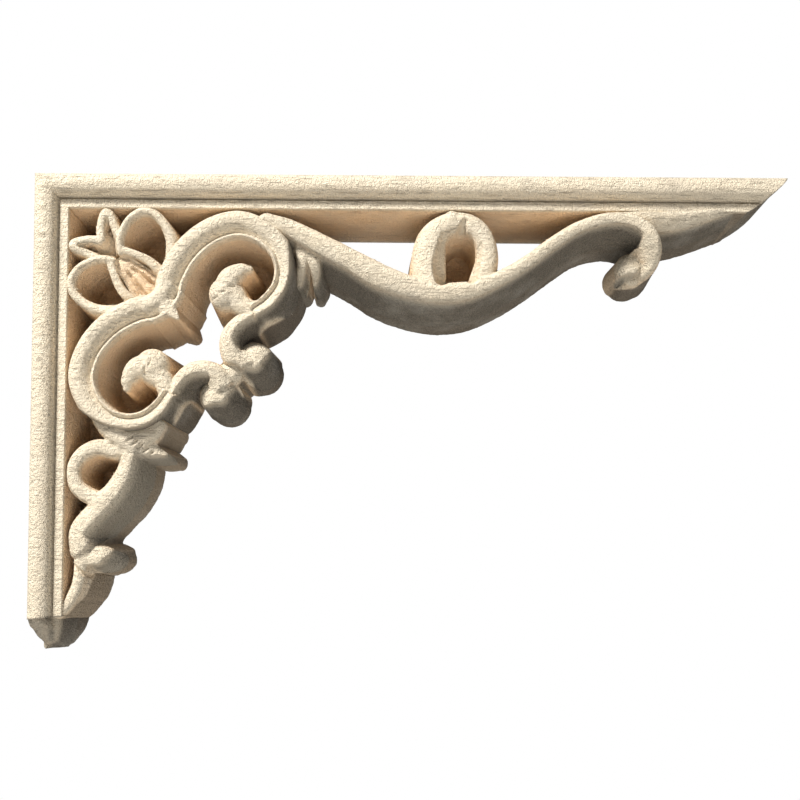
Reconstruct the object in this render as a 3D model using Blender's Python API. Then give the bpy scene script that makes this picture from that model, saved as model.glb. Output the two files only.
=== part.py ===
"""A carved wooden corner onlay: a moulded top rail and post with scrollwork cut right through in the angle.

The face lies in the XZ plane and looks towards -Y. The flat back is the plane y = 0. The origin is on the
back, where the middle lines of the rail and the post cross. Carving sizes are in millimetres, measured from
the outer corner: u runs along the rail to the right, v runs down the post, and h is the height above the back.
"""

import math

import bmesh
import bpy
from mathutils import Matrix, Vector

# Driving dimensions of the whole onlay
RAIL_LENGTH = 240.0
POST_LENGTH = 142.5
DEPTH = 30.0
RAIL_WIDTH = 10.8

# Moulding that runs along the rail and the post
ROUND_WIDTH = 7.4
ROUND_DROP = 3.6
QUIRK_WIDTH = 0.45
QUIRK_DEPTH = 1.3
QUIRK_SLOPE = 0.1
FILLET_HEIGHT = 25.6
ROUND_STEPS = 8

# Crest heights of the carving above the back
HEART_CREST = 30.0
CURL_CREST = 29.0
TUBE_CREST = 27.5
WAVE_CREST = 29.0
HOOK_KNOB_CREST = 20.0
ARCH_CREST = 27.5
PETAL_CREST = 27.0
LEAF_CREST = 25.0
TAIL_CREST = 27.0
HEEL_CREST = 25.5

# The cutter's taper leans every wall outwards towards the back
WALL_TAPER = math.radians(3.5)

# A knob's dome is a little flatter than half a ball
DOME_SHARE = 0.9

# The cut ends of the rail and the post: how fast they draw back away from the outer edge
RAIL_END_SLANT = 0.55
RAIL_END_CURVE = 0.055
POST_END_SLANT = 0.1

# How finely the strokes are cut
STEPS_PER_SPAN = 3
KNOB_SIDES = 16
KNOB_RINGS = 4
STOCK_BELOW_BACK = 3.0
WASTE_THICKNESS = 12.0

# The recesses that show no daylight keep a thin floor at the back
FLOOR_THICKNESS = 5.0

MM = 0.001

# What the joins leave is tidied up to these sizes, in metres
CLOSE_POINTS = 0.08 * MM
THIN_FACES = 0.04 * MM
BACK_TOLERANCE = 0.001 * MM
SLIVER_PASSES = 3
WOOD_COLOUR = (0.76, 0.66, 0.53, 1.0)
WOOD_ROUGHNESS = 0.75
SHARP_ANGLE = math.radians(35)

# Cross profiles: each pair is the place across the stroke, -1 at the left of travel and 1 at the right, and the
# drop below the crest as a share of the half width
ROUND_BAR = [(-1.0, 0.95), (-0.88, 0.5), (-0.5, 0.12), (0.0, 0.0), (0.5, 0.12), (0.88, 0.5), (1.0, 0.95)]
LOW_BAR = [(-1.0, 0.6), (-0.7, 0.18), (0.0, 0.0), (0.7, 0.18), (1.0, 0.6)]
HEART_BAND = [
    (-1.0, 0.85),
    (-0.8, 0.32),
    (-0.4, 0.0),
    (0.1, 0.14),
    (0.58, 0.55),
    (0.7, 0.28),
    (0.88, 0.24),
    (1.0, 0.5),
]
KEEL = [(-1.0, 0.35), (-0.75, 0.0), (-0.35, 0.06), (0.3, 0.5), (1.0, 1.15)]
SWAG_BAR = [(-1.0, 0.7), (-0.86, 0.26), (-0.45, 0.0), (0.1, 0.16), (0.6, 0.6), (1.0, 1.25)]


def clear_scene():
    for old in list(bpy.data.objects):
        bpy.data.objects.remove(old, do_unlink=True)


def make_wood():
    wood = bpy.data.materials.new("raw_wood")
    wood.use_nodes = True
    shader = wood.node_tree.nodes["Principled BSDF"]
    shader.inputs["Base Color"].default_value = WOOD_COLOUR
    shader.inputs["Roughness"].default_value = WOOD_ROUGHNESS
    shader.inputs["Metallic"].default_value = 0.0
    return wood


def to_world(u, v, h):
    """The world place, in metres, of a point of the carving."""
    return Vector(((u - RAIL_WIDTH / 2) * MM, -h * MM, (RAIL_WIDTH / 2 - v) * MM))


def catmull_rom(before, start, end, after, t):
    """One value of the smooth curve that passes through start and end."""
    return 0.5 * (
        2 * start
        + (end - before) * t
        + (2 * before - 5 * start + 4 * end - after) * t**2
        + (3 * start - before - 3 * end + after) * t**3
    )


def smooth_path(points, steps=STEPS_PER_SPAN):
    """Points on a smooth curve through the given ones, with every value of a point blended the same way."""
    first = [2 * a - b for a, b in zip(points[0], points[1])]
    last = [2 * a - b for a, b in zip(points[-1], points[-2])]
    ends = [first, *points, last]
    path = []
    for before, start, end, after in zip(ends, ends[1:], ends[2:], ends[3:]):
        for step in range(steps):
            t = step / steps
            path.append([catmull_rom(*values, t) for values in zip(before, start, end, after)])
    path.append(list(points[-1]))
    return path


def solid_from_sections(name, sections):
    """A closed object through sections of equally many corners, with flat ends."""
    mesh = bmesh.new()
    rings = [[mesh.verts.new(to_world(*corner)) for corner in section] for section in sections]
    for ring, following in zip(rings, rings[1:]):
        for i in range(len(ring)):
            j = (i + 1) % len(ring)
            mesh.faces.new((ring[i], ring[j], following[j], following[i]))
    mesh.faces.new(rings[0][::-1])
    mesh.faces.new(rings[-1])
    return finished_object(name, mesh)


def finished_object(name, mesh):
    """The object of a closed bmesh, with its faces turned outwards."""
    bmesh.ops.recalc_face_normals(mesh, faces=mesh.faces)
    data = bpy.data.meshes.new(name)
    mesh.to_mesh(data)
    mesh.free()
    made = bpy.data.objects.new(name, data)
    bpy.context.scene.collection.objects.link(made)
    return made


def foot_below(edge, outwards):
    """Where a tapered wall that starts at this edge of the carving meets the stock below the back."""
    u, v, h = edge
    lean = math.tan(WALL_TAPER) * (h + STOCK_BELOW_BACK)
    return (u + outwards[0] * lean, v + outwards[1] * lean, -STOCK_BELOW_BACK)


def stroke(name, points, crest, profile, mirrored=False):
    """A carved bar along points of (u, v, half width), whose top follows a cross profile.

    A point may hold a fourth value, its own drop below the crest height.
    """
    filled = [(*point[:3], point[3] if len(point) > 3 else 0.0) for point in points]
    path = smooth_path(filled)
    sections = []
    for i, (u, v, half, drop) in enumerate(path):
        ahead = path[min(i + 1, len(path) - 1)]
        behind = path[max(i - 1, 0)]
        along = Vector((ahead[0] - behind[0], ahead[1] - behind[1])).normalized()
        right = (-along[1], along[0])
        top = [
            (u + right[0] * side * half, v + right[1] * side * half, crest - drop - fall * half)
            for side, fall in profile
        ]
        left_foot = foot_below(top[0], (-right[0], -right[1]))
        right_foot = foot_below(top[-1], right)
        sections.append([left_foot, *top, right_foot])
    if mirrored:
        sections = [[(v, u, h) for u, v, h in section] for section in sections]
    return solid_from_sections(name, sections)


def knob(name, centre, radius, crest, mirrored=False):
    """A round post with a domed top, spun about its own axis."""
    u, v = centre[::-1] if mirrored else centre
    mesh = bmesh.new()
    quarter = [math.pi / 2 * ring / KNOB_RINGS for ring in range(KNOB_RINGS + 1)]
    outline = [(radius * math.sin(turn), crest - radius * (1 - math.cos(turn)) * DOME_SHARE) for turn in quarter]
    reach, h = outline[-1]
    foot = reach + math.tan(WALL_TAPER) * (h + STOCK_BELOW_BACK)
    outline = outline[1:] + [(foot, -STOCK_BELOW_BACK)]
    tip = mesh.verts.new(to_world(u, v, crest))
    rings = []
    for reach, h in outline:
        turns = [2 * math.pi * side / KNOB_SIDES for side in range(KNOB_SIDES)]
        rings.append(
            [mesh.verts.new(to_world(u + reach * math.cos(a), v + reach * math.sin(a), h)) for a in turns]
        )
    for side in range(KNOB_SIDES):
        following = (side + 1) % KNOB_SIDES
        mesh.faces.new((tip, rings[0][side], rings[0][following]))
        for ring, outer in zip(rings, rings[1:]):
            mesh.faces.new((ring[side], outer[side], outer[following], ring[following]))
    mesh.faces.new(rings[-1])
    return finished_object(name, mesh)


def moulding_profile():
    """The rail's section as (distance from the outer edge, height): round, quirk and fillet."""
    middle = ROUND_WIDTH / 2
    section = [(0.0, -STOCK_BELOW_BACK)]
    for step in range(ROUND_STEPS + 1):
        turn = math.pi * step / ROUND_STEPS
        place = middle - middle * math.cos(turn)
        section.append((place, DEPTH - ROUND_DROP * (1 - math.sin(turn))))
    section.append((ROUND_WIDTH + QUIRK_SLOPE, FILLET_HEIGHT - QUIRK_DEPTH))
    section.append((ROUND_WIDTH + QUIRK_WIDTH, FILLET_HEIGHT - QUIRK_DEPTH))
    section.append((ROUND_WIDTH + QUIRK_WIDTH + QUIRK_SLOPE, FILLET_HEIGHT))
    section.append((RAIL_WIDTH, FILLET_HEIGHT))
    lean = math.tan(WALL_TAPER) * (FILLET_HEIGHT + STOCK_BELOW_BACK)
    section.append((RAIL_WIDTH + lean, -STOCK_BELOW_BACK))
    return section


def rail_end(place):
    """How far the rail reaches at this distance from its outer edge: its end is cut back on a slant."""
    return RAIL_LENGTH - RAIL_END_SLANT * place - RAIL_END_CURVE * place**2


def make_rail():
    profile = moulding_profile()
    start = [(place, place, h) for place, h in profile]
    end = [(rail_end(place), place, h) for place, h in profile]
    return solid_from_sections("rail", [start, end])


def make_post():
    profile = moulding_profile()
    start = [(place, place, h) for place, h in profile]
    end = [(place, POST_LENGTH - POST_END_SLANT * place, h) for place, h in profile]
    return solid_from_sections("post", [start, end])


def make_heart():
    """The heart's two lobes, each with a curl inside and a tube that ends in a ball; mirror images."""
    lobe = [
        (36.4, 44.6, 4.8),
        (42.4, 40.0, 5.0),
        (44.4, 33.2, 5.0),
        (48.9, 25.2, 5.0),
        (56.2, 18.9, 4.9),
        (65.0, 16.2, 4.8),
        (73.0, 18.6, 4.3),
        (78.6, 24.0, 3.8),
        (80.6, 30.4, 3.6),
        (79.6, 36.6, 3.6),
        (76.0, 41.6, 3.6),
        (71.6, 44.8, 3.3),
    ]
    curl = [(77.0, 41.0, 2.9, 1.5), (71.6, 43.2, 2.7, 1.5), (66.6, 41.8, 3.4, 1.0), (63.4, 38.6, 4.6, 0.5)]
    curl_lip = [(61.4, 37.6, 4.6), (62.8, 33.2, 3.9, 0.3), (66.2, 30.7, 2.6, 1.2), (68.8, 30.2, 1.2, 2.4)]
    tube = [
        (77.0, 41.0, 3.2),
        (71.6, 44.6, 3.3),
        (66.0, 48.2, 3.6),
        (63.4, 52.2, 4.0),
        (63.6, 56.8, 4.0, 0.8),
        (67.0, 59.0, 4.2, 2.0),
    ]
    pieces = []
    for side, mirrored in (("upper", False), ("lower", True)):
        pieces += [
            stroke(f"{side}_lobe", lobe, HEART_CREST, HEART_BAND, mirrored),
            stroke(f"{side}_curl", curl, CURL_CREST, ROUND_BAR, mirrored),
            stroke(f"{side}_curl_lip", curl_lip, CURL_CREST, ROUND_BAR, mirrored),
            knob(f"{side}_curl_bulb", (61.4, 38.0), 5.6, CURL_CREST, mirrored),
            stroke(f"{side}_tube", tube, TUBE_CREST, ROUND_BAR, mirrored),
            knob(f"{side}_ball", (68.9, 57.5), 6.3, TUBE_CREST - 1.0, mirrored),
        ]
    return pieces


def make_palmette():
    """The four-lobed shell between the corner and the heart: two open petals and two small tips."""
    petal = [
        (27.4, 24.6, 1.5, 1.5),
        (27.3, 20.6, 1.5, 0.5),
        (29.6, 15.6, 1.6),
        (33.6, 12.4, 1.8),
        (37.6, 12.6, 1.7),
        (41.0, 16.0, 1.8),
        (43.4, 21.0, 2.4),
        (43.6, 27.0, 2.6, 0.4),
    ]
    petal_foot = [(27.2, 23.6, 1.4, 1.5), (31.4, 25.2, 1.6, 1.6), (36.0, 27.4, 2.4, 2.2), (40.6, 32.0, 3.4, 3.2)]
    tip = [
        (27.0, 19.0, 1.2, 1.4),
        (24.6, 15.6, 1.9, 0.8),
        (22.4, 12.2, 2.2),
        (21.2, 16.4, 1.8, 0.6),
        (21.6, 21.0, 1.7, 1.0),
    ]
    web = [(21.0, 18.6, 1.6, 2.5), (20.0, 20.0, 2.2, 2.5)]
    pieces = []
    for side, mirrored in (("right", False), ("left", True)):
        pieces += [
            stroke(f"{side}_petal", petal, PETAL_CREST, ROUND_BAR, mirrored),
            stroke(f"{side}_petal_foot", petal_foot, PETAL_CREST, LOW_BAR, mirrored),
            stroke(f"{side}_tip", tip, PETAL_CREST, ROUND_BAR, mirrored),
            stroke(f"{side}_web", web, PETAL_CREST, LOW_BAR, mirrored),
        ]
    return pieces


def make_wave():
    """The long swag under the rail, from the heart to the hooked end, with its arch and small leaf."""
    swag = [
        (74.4, 15.8, 3.4),
        (81.4, 18.4, 4.2),
        (91.1, 23.4, 4.8),
        (101.2, 28.5, 5.0),
        (110.7, 33.2, 5.1),
        (120.2, 36.6, 4.8),
        (129.8, 38.3, 4.5),
        (139.2, 37.5, 4.0),
        (149.3, 33.6, 3.3),
        (158.2, 28.2, 3.0),
        (166.8, 21.8, 3.0),
        (174.1, 17.4, 3.0),
        (182.0, 15.0, 3.3),
        (189.0, 14.8, 3.3),
        (194.6, 17.2, 3.1),
        (197.4, 21.6, 3.2, 1.2),
        (196.8, 26.0, 3.6, 4.5),
        (193.6, 28.2, 3.6, 8.0),
    ]
    arch = [
        (123.6, 33.5, 3.3),
        (123.5, 26.0, 3.0),
        (125.2, 19.6, 3.0),
        (129.2, 15.6, 3.1),
        (134.4, 13.7, 3.0),
        (139.6, 14.9, 3.1),
        (143.4, 18.8, 3.2),
        (144.9, 25.0, 3.5),
        (143.6, 32.0, 4.2),
    ]
    left_lobe = [(85.4, 22.0, 2.8), (85.8, 26.4, 2.4, 0.5), (85.4, 30.4, 2.1, 2.0), (84.6, 33.4, 1.4, 5.0)]
    right_lobe = [(87.6, 23.4, 2.6), (89.6, 28.0, 2.4, 0.5), (90.2, 32.0, 2.1, 2.0), (89.6, 35.2, 1.4, 5.0)]
    return [
        stroke("swag", swag, WAVE_CREST, SWAG_BAR),
        stroke("arch", arch, ARCH_CREST, ROUND_BAR),
        knob("arch_bump", (134.2, 15.4), 3.8, ARCH_CREST),
        stroke("leaf_left_lobe", left_lobe, LEAF_CREST, ROUND_BAR),
        stroke("leaf_right_lobe", right_lobe, LEAF_CREST, ROUND_BAR),
        knob("hook_knob", (192.8, 26.4), 5.2, HOOK_KNOB_CREST),
    ]


def make_wedge():
    """The long keel that carries the rail's slanted end, thin at its tip."""
    keel = [
        (186.0, 13.4, 3.4, 1.0),
        (194.0, 14.4, 4.2),
        (203.0, 14.2, 4.0),
        (211.0, 13.2, 3.2),
        (219.0, 11.4, 2.2, 0.3),
        (226.0, 9.6, 1.4, 1.0),
    ]
    return stroke("keel", keel, FILLET_HEIGHT + 1.2, KEEL)


def make_tail():
    """The lower scroll: a leaf under the heart, an eye against the post, a stem, a knob and the heel."""
    shoulder = [(21.0, 76.0, 3.4), (25.0, 81.4, 3.9), (31.6, 84.4, 4.0), (37.4, 83.4, 3.4), (40.6, 80.6, 2.4)]
    leaf = [(27.0, 84.0, 3.8, 0.5), (33.0, 86.6, 4.4, 1.0), (38.4, 89.0, 3.0, 2.0), (42.2, 90.2, 1.4, 3.0)]
    stem = [
        (26.6, 82.6, 3.6),
        (31.2, 88.0, 4.0, 0.5),
        (30.8, 94.8, 4.3, 0.5),
        (26.6, 102.0, 4.4),
        (20.6, 108.4, 4.3),
        (15.6, 114.6, 4.3),
        (14.4, 121.0, 4.2, 0.5),
    ]
    eye = [
        (27.6, 104.0, 2.4, 0.5),
        (20.6, 104.0, 2.6, 0.5),
        (14.8, 100.6, 2.5, 0.5),
        (13.3, 95.0, 2.3, 0.5),
        (15.6, 90.2, 2.5, 0.5),
        (20.6, 87.6, 2.7, 0.5),
        (26.4, 88.6, 2.8, 0.8),
    ]
    heel_rib = [(15.6, 119.0, 2.6), (15.8, 126.0, 2.2), (14.8, 132.0, 2.0), (12.0, 137.4, 2.0), (9.0, 140.4, 2.0)]
    heel = [(17.2, 124.0, 2.2, 3.0), (16.0, 129.6, 2.4, 3.0), (13.8, 134.0, 2.8, 3.0), (9.6, 138.4, 2.6, 3.0)]
    return [
        stroke("shoulder", shoulder, TAIL_CREST, ROUND_BAR),
        stroke("tail_leaf", leaf, TAIL_CREST, LOW_BAR),
        stroke("stem", stem, TAIL_CREST, ROUND_BAR),
        stroke("eye", eye, TAIL_CREST, ROUND_BAR),
        knob("tail_knob", (19.6, 122.6), 5.5, TAIL_CREST - 1.0),
        stroke("heel_rib", heel_rib, HEEL_CREST, ROUND_BAR),
        stroke("heel", heel, HEEL_CREST, LOW_BAR),
    ]


def plate(name, outline):
    """A flat floor of the recesses, from a polygon of (u, v)."""
    mesh = bmesh.new()
    low = [mesh.verts.new(to_world(u, v, -STOCK_BELOW_BACK)) for u, v in outline]
    high = [mesh.verts.new(to_world(u, v, FLOOR_THICKNESS)) for u, v in outline]
    mesh.faces.new(low)
    mesh.faces.new(high[::-1])
    for i in range(len(outline)):
        j = (i + 1) % len(outline)
        mesh.faces.new((low[i], low[j], high[j], high[i]))
    return finished_object(name, mesh)


def make_floors():
    """The thin floors of the blind recesses: under the shell, in the curls, the eye, the arch and by the post."""
    curl_floor = [(64.5, 25.0), (83.0, 25.0), (83.0, 42.0), (66.0, 46.0)]
    shell_floor = [(6.0, 6.0), (51.0, 6.0), (51.0, 22.0), (41.0, 37.0), (37.0, 41.0), (22.0, 51.0), (6.0, 51.0)]
    post_floor = [(7.0, 70.0), (22.0, 70.0), (22.0, 86.0), (30.0, 86.0), (30.0, 104.5), (18.0, 113.0), (7.0, 113.0)]
    arch_floor = [(126.0, 18.5), (143.0, 18.5), (143.0, 36.0), (126.0, 36.0)]
    return [
        plate("shell_floor", shell_floor),
        plate("upper_curl_floor", curl_floor),
        plate("lower_curl_floor", [(v, u) for u, v in curl_floor]),
        plate("post_floor", post_floor),
        plate("arch_floor", arch_floor),
    ]


def make_nose():
    """The post's lower end, rounded off from the face towards the back."""
    spine = [
        (5.0, 140.0, 5.0, 1.6),
        (4.7, 143.0, 4.7, 2.0),
        (4.2, 146.4, 4.2, 5.0),
        (3.2, 149.4, 3.2, 9.5),
        (2.2, 151.6, 2.2, 16.0),
    ]
    return stroke("nose", spine, DEPTH, LOW_BAR)


def make_waste():
    """Blocks of stock that are sawn away: behind the back, left of the post and above the rail."""
    reach = 2 * RAIL_LENGTH
    behind = block("waste_behind", (-reach, -reach, -WASTE_THICKNESS), (reach, reach, 0.0))
    left = block("waste_left", (-WASTE_THICKNESS, -reach, -reach), (0.0, reach, reach))
    above = block("waste_above", (-reach, -WASTE_THICKNESS, -reach), (reach, 0.0, reach))
    return [left, above, behind]


def block(name, low, high):
    """A plain box between two corners of (u, v, h)."""
    mesh = bmesh.new()
    bmesh.ops.create_cube(mesh, size=1.0)
    first, second = to_world(*low), to_world(*high)
    size = [abs(b - a) for a, b in zip(first, second)]
    bmesh.ops.scale(mesh, vec=size, verts=mesh.verts)
    bmesh.ops.translate(mesh, vec=(first + second) / 2, verts=mesh.verts)
    return finished_object(name, mesh)


def combine(body, other, operation):
    """Apply one Boolean to the body and drop the other object."""
    step = body.modifiers.new(other.name, "BOOLEAN")
    step.operation = operation
    step.solver = "EXACT"
    step.use_self = True
    step.object = other
    graph = bpy.context.evaluated_depsgraph_get()
    joined = bpy.data.meshes.new_from_object(body.evaluated_get(graph))
    body.modifiers.remove(step)
    body.data = joined
    bpy.data.objects.remove(other, do_unlink=True)


def thinness(face):
    """The smallest height of a triangle."""
    return 2 * face.calc_area() / max(edge.calc_length() for edge in face.edges)


def refill_back(edit):
    """Fill the flat back afresh, because the joins leave its outline with needless chords."""
    on_back = [face for face in edit.faces if all(abs(corner.co.y) < BACK_TOLERANCE for corner in face.verts)]
    bmesh.ops.delete(edit, geom=on_back, context="FACES")
    rim = [edge for edge in edit.edges if len(edge.link_faces) == 1]
    bmesh.ops.triangle_fill(edit, edges=rim, use_beauty=True)
    bmesh.ops.recalc_face_normals(edit, faces=edit.faces)


def tidy_mesh(mesh):
    """Merge the close points that the joins leave, and take out the slivers."""
    edit = bmesh.new()
    edit.from_mesh(mesh)
    bmesh.ops.remove_doubles(edit, verts=edit.verts, dist=CLOSE_POINTS)
    bmesh.ops.dissolve_degenerate(edit, edges=edit.edges, dist=THIN_FACES)
    refill_back(edit)
    bmesh.ops.triangulate(edit, faces=edit.faces)
    for _ in range(SLIVER_PASSES):
        bmesh.ops.dissolve_degenerate(edit, edges=edit.edges, dist=THIN_FACES)
        bmesh.ops.triangulate(edit, faces=edit.faces)
        thin = [face for face in edit.faces if thinness(face) < THIN_FACES / 2]
        long_sides = {max(face.edges, key=lambda edge: edge.calc_length()) for face in thin}
        bmesh.ops.rotate_edges(edit, edges=list(long_sides), use_ccw=False)
    edit.to_mesh(mesh)
    edit.free()


def make_onlay(wood):
    body = make_rail()
    pieces = [make_post(), *make_heart(), *make_palmette(), *make_wave(), make_wedge()]
    pieces += [*make_tail(), make_nose(), *make_floors()]
    for piece in pieces:
        combine(body, piece, "UNION")
    for waste in make_waste():
        combine(body, waste, "DIFFERENCE")
    tidy_mesh(body.data)
    body.name = "corner_onlay"
    body.data.name = "corner_onlay"
    body.data.materials.clear()
    body.data.materials.append(wood)
    body.data.shade_smooth()
    body.data.set_sharp_from_angle(angle=SHARP_ANGLE)
    body.matrix_world = Matrix.Identity(4)
    return body


def main():
    clear_scene()
    make_onlay(make_wood())


if __name__ == "__main__":
    main()
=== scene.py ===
"""A carved wooden corner onlay, shown in raw pale wood under soft studio light.

The face lies in the XZ plane and looks towards -Y, with the flat back on y = 0. Carving sizes are in
millimetres from the outer corner: u runs right along the rail, v runs down the post, and h is the height
above the back. The frame is one moulding swept along two arms. The scrollwork is cut as a relief: each
bar and knob is laid on a fine grid, the outline is followed, and tapered walls go down to the back.
"""

import logging
import math
from dataclasses import dataclass, replace
from enum import Enum

import bmesh
import bpy
import numpy as np
from mathutils import Euler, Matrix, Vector


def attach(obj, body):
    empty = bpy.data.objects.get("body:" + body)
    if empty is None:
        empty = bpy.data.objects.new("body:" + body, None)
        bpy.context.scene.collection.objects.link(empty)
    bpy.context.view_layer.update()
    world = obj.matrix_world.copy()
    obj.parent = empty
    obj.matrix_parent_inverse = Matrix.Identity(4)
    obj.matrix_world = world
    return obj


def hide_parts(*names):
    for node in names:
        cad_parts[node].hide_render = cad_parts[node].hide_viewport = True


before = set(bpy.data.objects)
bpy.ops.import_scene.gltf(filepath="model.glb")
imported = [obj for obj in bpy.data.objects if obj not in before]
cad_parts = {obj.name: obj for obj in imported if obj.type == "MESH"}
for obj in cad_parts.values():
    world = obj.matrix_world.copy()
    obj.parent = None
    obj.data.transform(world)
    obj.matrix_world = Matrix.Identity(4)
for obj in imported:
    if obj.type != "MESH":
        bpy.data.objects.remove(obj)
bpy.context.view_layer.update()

NODE = "corner_onlay"
BODY = "root"

MM = 0.001
RAIL_LENGTH = 240.0
POST_LENGTH = 142.5
FULL_HEIGHT = 152.9
DEPTH = 30.0
RAIL_WIDTH = 10.8
WALL_TAPER = math.radians(3.5)
SHARP_ANGLE = math.radians(52)

Array = np.ndarray
Point = tuple[float, ...]
Socket = bpy.types.NodeSocket

log = logging.getLogger("corner_onlay")


class CrossProfile(Enum):
    """Cross profiles of the carved bars.

    Each pair is the place across the bar, -1 at the left of travel and 1 at the right, and the drop below
    the crest as a share of the half width.
    """

    ROUND_BAR = ((-1.0, 1.0), (-0.93, 0.64), (-0.75, 0.32), (-0.4, 0.07), (0.0, 0.0),
                 (0.4, 0.07), (0.75, 0.32), (0.93, 0.64), (1.0, 1.0))
    LOW_BAR = ((-1.0, 0.6), (-0.9, 0.36), (-0.6, 0.13), (0.0, 0.0), (0.6, 0.13), (0.9, 0.36), (1.0, 0.6))
    RIM = ((-1.0, 1.1), (-0.8, 0.5), (-0.3, 0.03), (0.1, 0.0), (0.5, 0.25), (0.8, 0.6), (1.0, 1.1))
    HEART_BAND = ((-1.0, 0.95), (-0.92, 0.58), (-0.76, 0.24), (-0.5, 0.04), (-0.3, 0.0), (0.0, 0.08),
                  (0.3, 0.32), (0.5, 0.52), (0.6, 0.54), (0.68, 0.3), (0.78, 0.2), (0.88, 0.24), (1.0, 0.6))
    KEEL = ((-1.0, 0.35), (-0.75, 0.0), (-0.35, 0.06), (0.3, 0.5), (1.0, 1.15))
    SWAG_BAR = ((-1.0, 0.75), (-0.92, 0.42), (-0.75, 0.14), (-0.5, 0.0), (-0.2, 0.05), (0.2, 0.24),
                (0.6, 0.66), (1.0, 1.3))

    def drop(self, place: Array) -> Array:
        """The drop at places across the bar, on a smooth curve through the pairs."""
        curve = smooth_path([list(pair) for pair in self.value], 6)
        return np.interp(place, [pair[0] for pair in curve], [pair[1] for pair in curve])


def smooth_path(points: list[list[float]], steps: int) -> list[list[float]]:
    """Points on a Catmull-Rom curve through the given ones.

    Args:
        points: Control points, each a list of values that are blended the same way.
        steps: How many points each span gives.

    Returns:
        The points of the curve, both ends included.
    """
    first = [2 * a - b for a, b in zip(points[0], points[1])]
    last = [2 * a - b for a, b in zip(points[-1], points[-2])]
    ends = [first, *points, last]
    path = []
    for before, start, end, after in zip(ends, ends[1:], ends[2:], ends[3:]):
        for step in range(steps):
            t = step / steps
            path.append([
                0.5 * (2 * b + (c - a) * t + (2 * a - 5 * b + 4 * c - d) * t**2
                       + (3 * b - a - 3 * c + d) * t**3)
                for a, b, c, d in zip(before, start, end, after)
            ])
    path.append(list(points[-1]))
    return path


def to_world(u: Array, v: Array, h: Array) -> Array:
    """World places in metres of carving points, as an array of rows."""
    return np.stack([(u - RAIL_WIDTH / 2) * MM, -h * MM, (RAIL_WIDTH / 2 - v) * MM], axis=-1)


class Lumps:
    """Smooth random lumps over the plane, the same in each run."""

    def __init__(self, seed: int) -> None:
        """Keep a table of random values.

        Args:
            seed: Fixes the table.
        """
        self.table = np.random.default_rng(seed).random((256, 256)) * 2 - 1

    def at(self, x: Array, y: Array) -> Array:
        """Look up smooth values.

        Args:
            x: Places along u, in lumps.
            y: Places along v, in lumps.

        Returns:
            Values between -1 and 1.
        """
        i, j = np.floor(x).astype(int), np.floor(y).astype(int)
        s, t = x - i, y - j
        s, t = s * s * (3 - 2 * s), t * t * (3 - 2 * t)
        a, b = self.table[i & 255, j & 255], self.table[(i + 1) & 255, j & 255]
        c, d = self.table[i & 255, (j + 1) & 255], self.table[(i + 1) & 255, (j + 1) & 255]
        return (a * (1 - s) + b * s) * (1 - t) + (c * (1 - s) + d * s) * t

    def layered(self, x: Array, y: Array, layers: int = 3) -> Array:
        """Lay finer and weaker lumps on the lumps.

        Args:
            x: Places along u, in lumps.
            y: Places along v, in lumps.
            layers: How many sizes of lumps.

        Returns:
            Values between -1 and 1.
        """
        total = np.zeros(np.shape(x))
        for layer in range(layers):
            total = total + self.at(x * 2**layer + 17.3 * layer, y * 2**layer + 9.1 * layer) / 2**layer
        return total / 2


def swapped(points: tuple[Point, ...]) -> tuple[Point, ...]:
    """The points mirrored across the corner's diagonal."""
    return tuple((p[1], p[0], *p[2:]) for p in points)


@dataclass(frozen=True)
class Bar:
    """One carved bar: points of (u, v, half width) with an optional own drop below the crest.

    Its flank is the width of the rounded outer side, on both sides or on flank_side alone. Bare is how
    freshly cut its top looks, and hand is -1 where right and left are swapped.
    """

    points: tuple[Point, ...]
    crest: float
    profile: CrossProfile = CrossProfile.ROUND_BAR
    round_ends: bool = True
    chatter: float = 0.05
    flank: float = 0.0
    flank_side: float = 0.0
    bare: float = 0.0
    hand: float = 1.0

    def mirrored(self) -> "Bar":
        """The same bar on the other side of the corner's diagonal."""
        return replace(self, points=swapped(self.points), hand=-self.hand)


@dataclass(frozen=True)
class Knob:
    """A round post with a domed top, which may be stretched along u and v."""

    centre: Point
    radius: float
    crest: float
    stretch: tuple[float, float] = (1.0, 1.0)
    dome: float = 0.9
    flank: float = 0.0

    def mirrored(self) -> "Knob":
        """The same knob on the other side of the corner's diagonal."""
        return replace(self, centre=self.centre[::-1], stretch=self.stretch[::-1])


@dataclass(frozen=True)
class Gouge:
    """A hollow cut along points of (u, v, half width, depth)."""

    points: tuple[Point, ...]

    def mirrored(self) -> "Gouge":
        """The same hollow on the other side of the corner's diagonal."""
        return Gouge(swapped(self.points))


@dataclass(frozen=True)
class ToolMarks:
    """How rough the cutter leaves the wood, in millimetres."""

    fuzz: float = 0.12
    fuzz_size: float = 0.7
    waves: float = 0.12
    wave_size: float = 5.0
    streaks: float = 0.16
    streak_size: float = 1.1


@dataclass(frozen=True)
class Tone:
    """The painted shade on a piece's outer walls and flanks, and how far its back sits in from the flat
    ground, in millimetres.

    Each piece has its own seat, so that no two backs share a plane where the pieces run into each other.
    """

    seat: float = 0.05
    # How strong the painted shade on the outer walls and flanks is.
    painted_shade_gain: float = 1.0
    # Painted shade that every point of the piece gets at the least.
    least: float = 0.0


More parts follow.
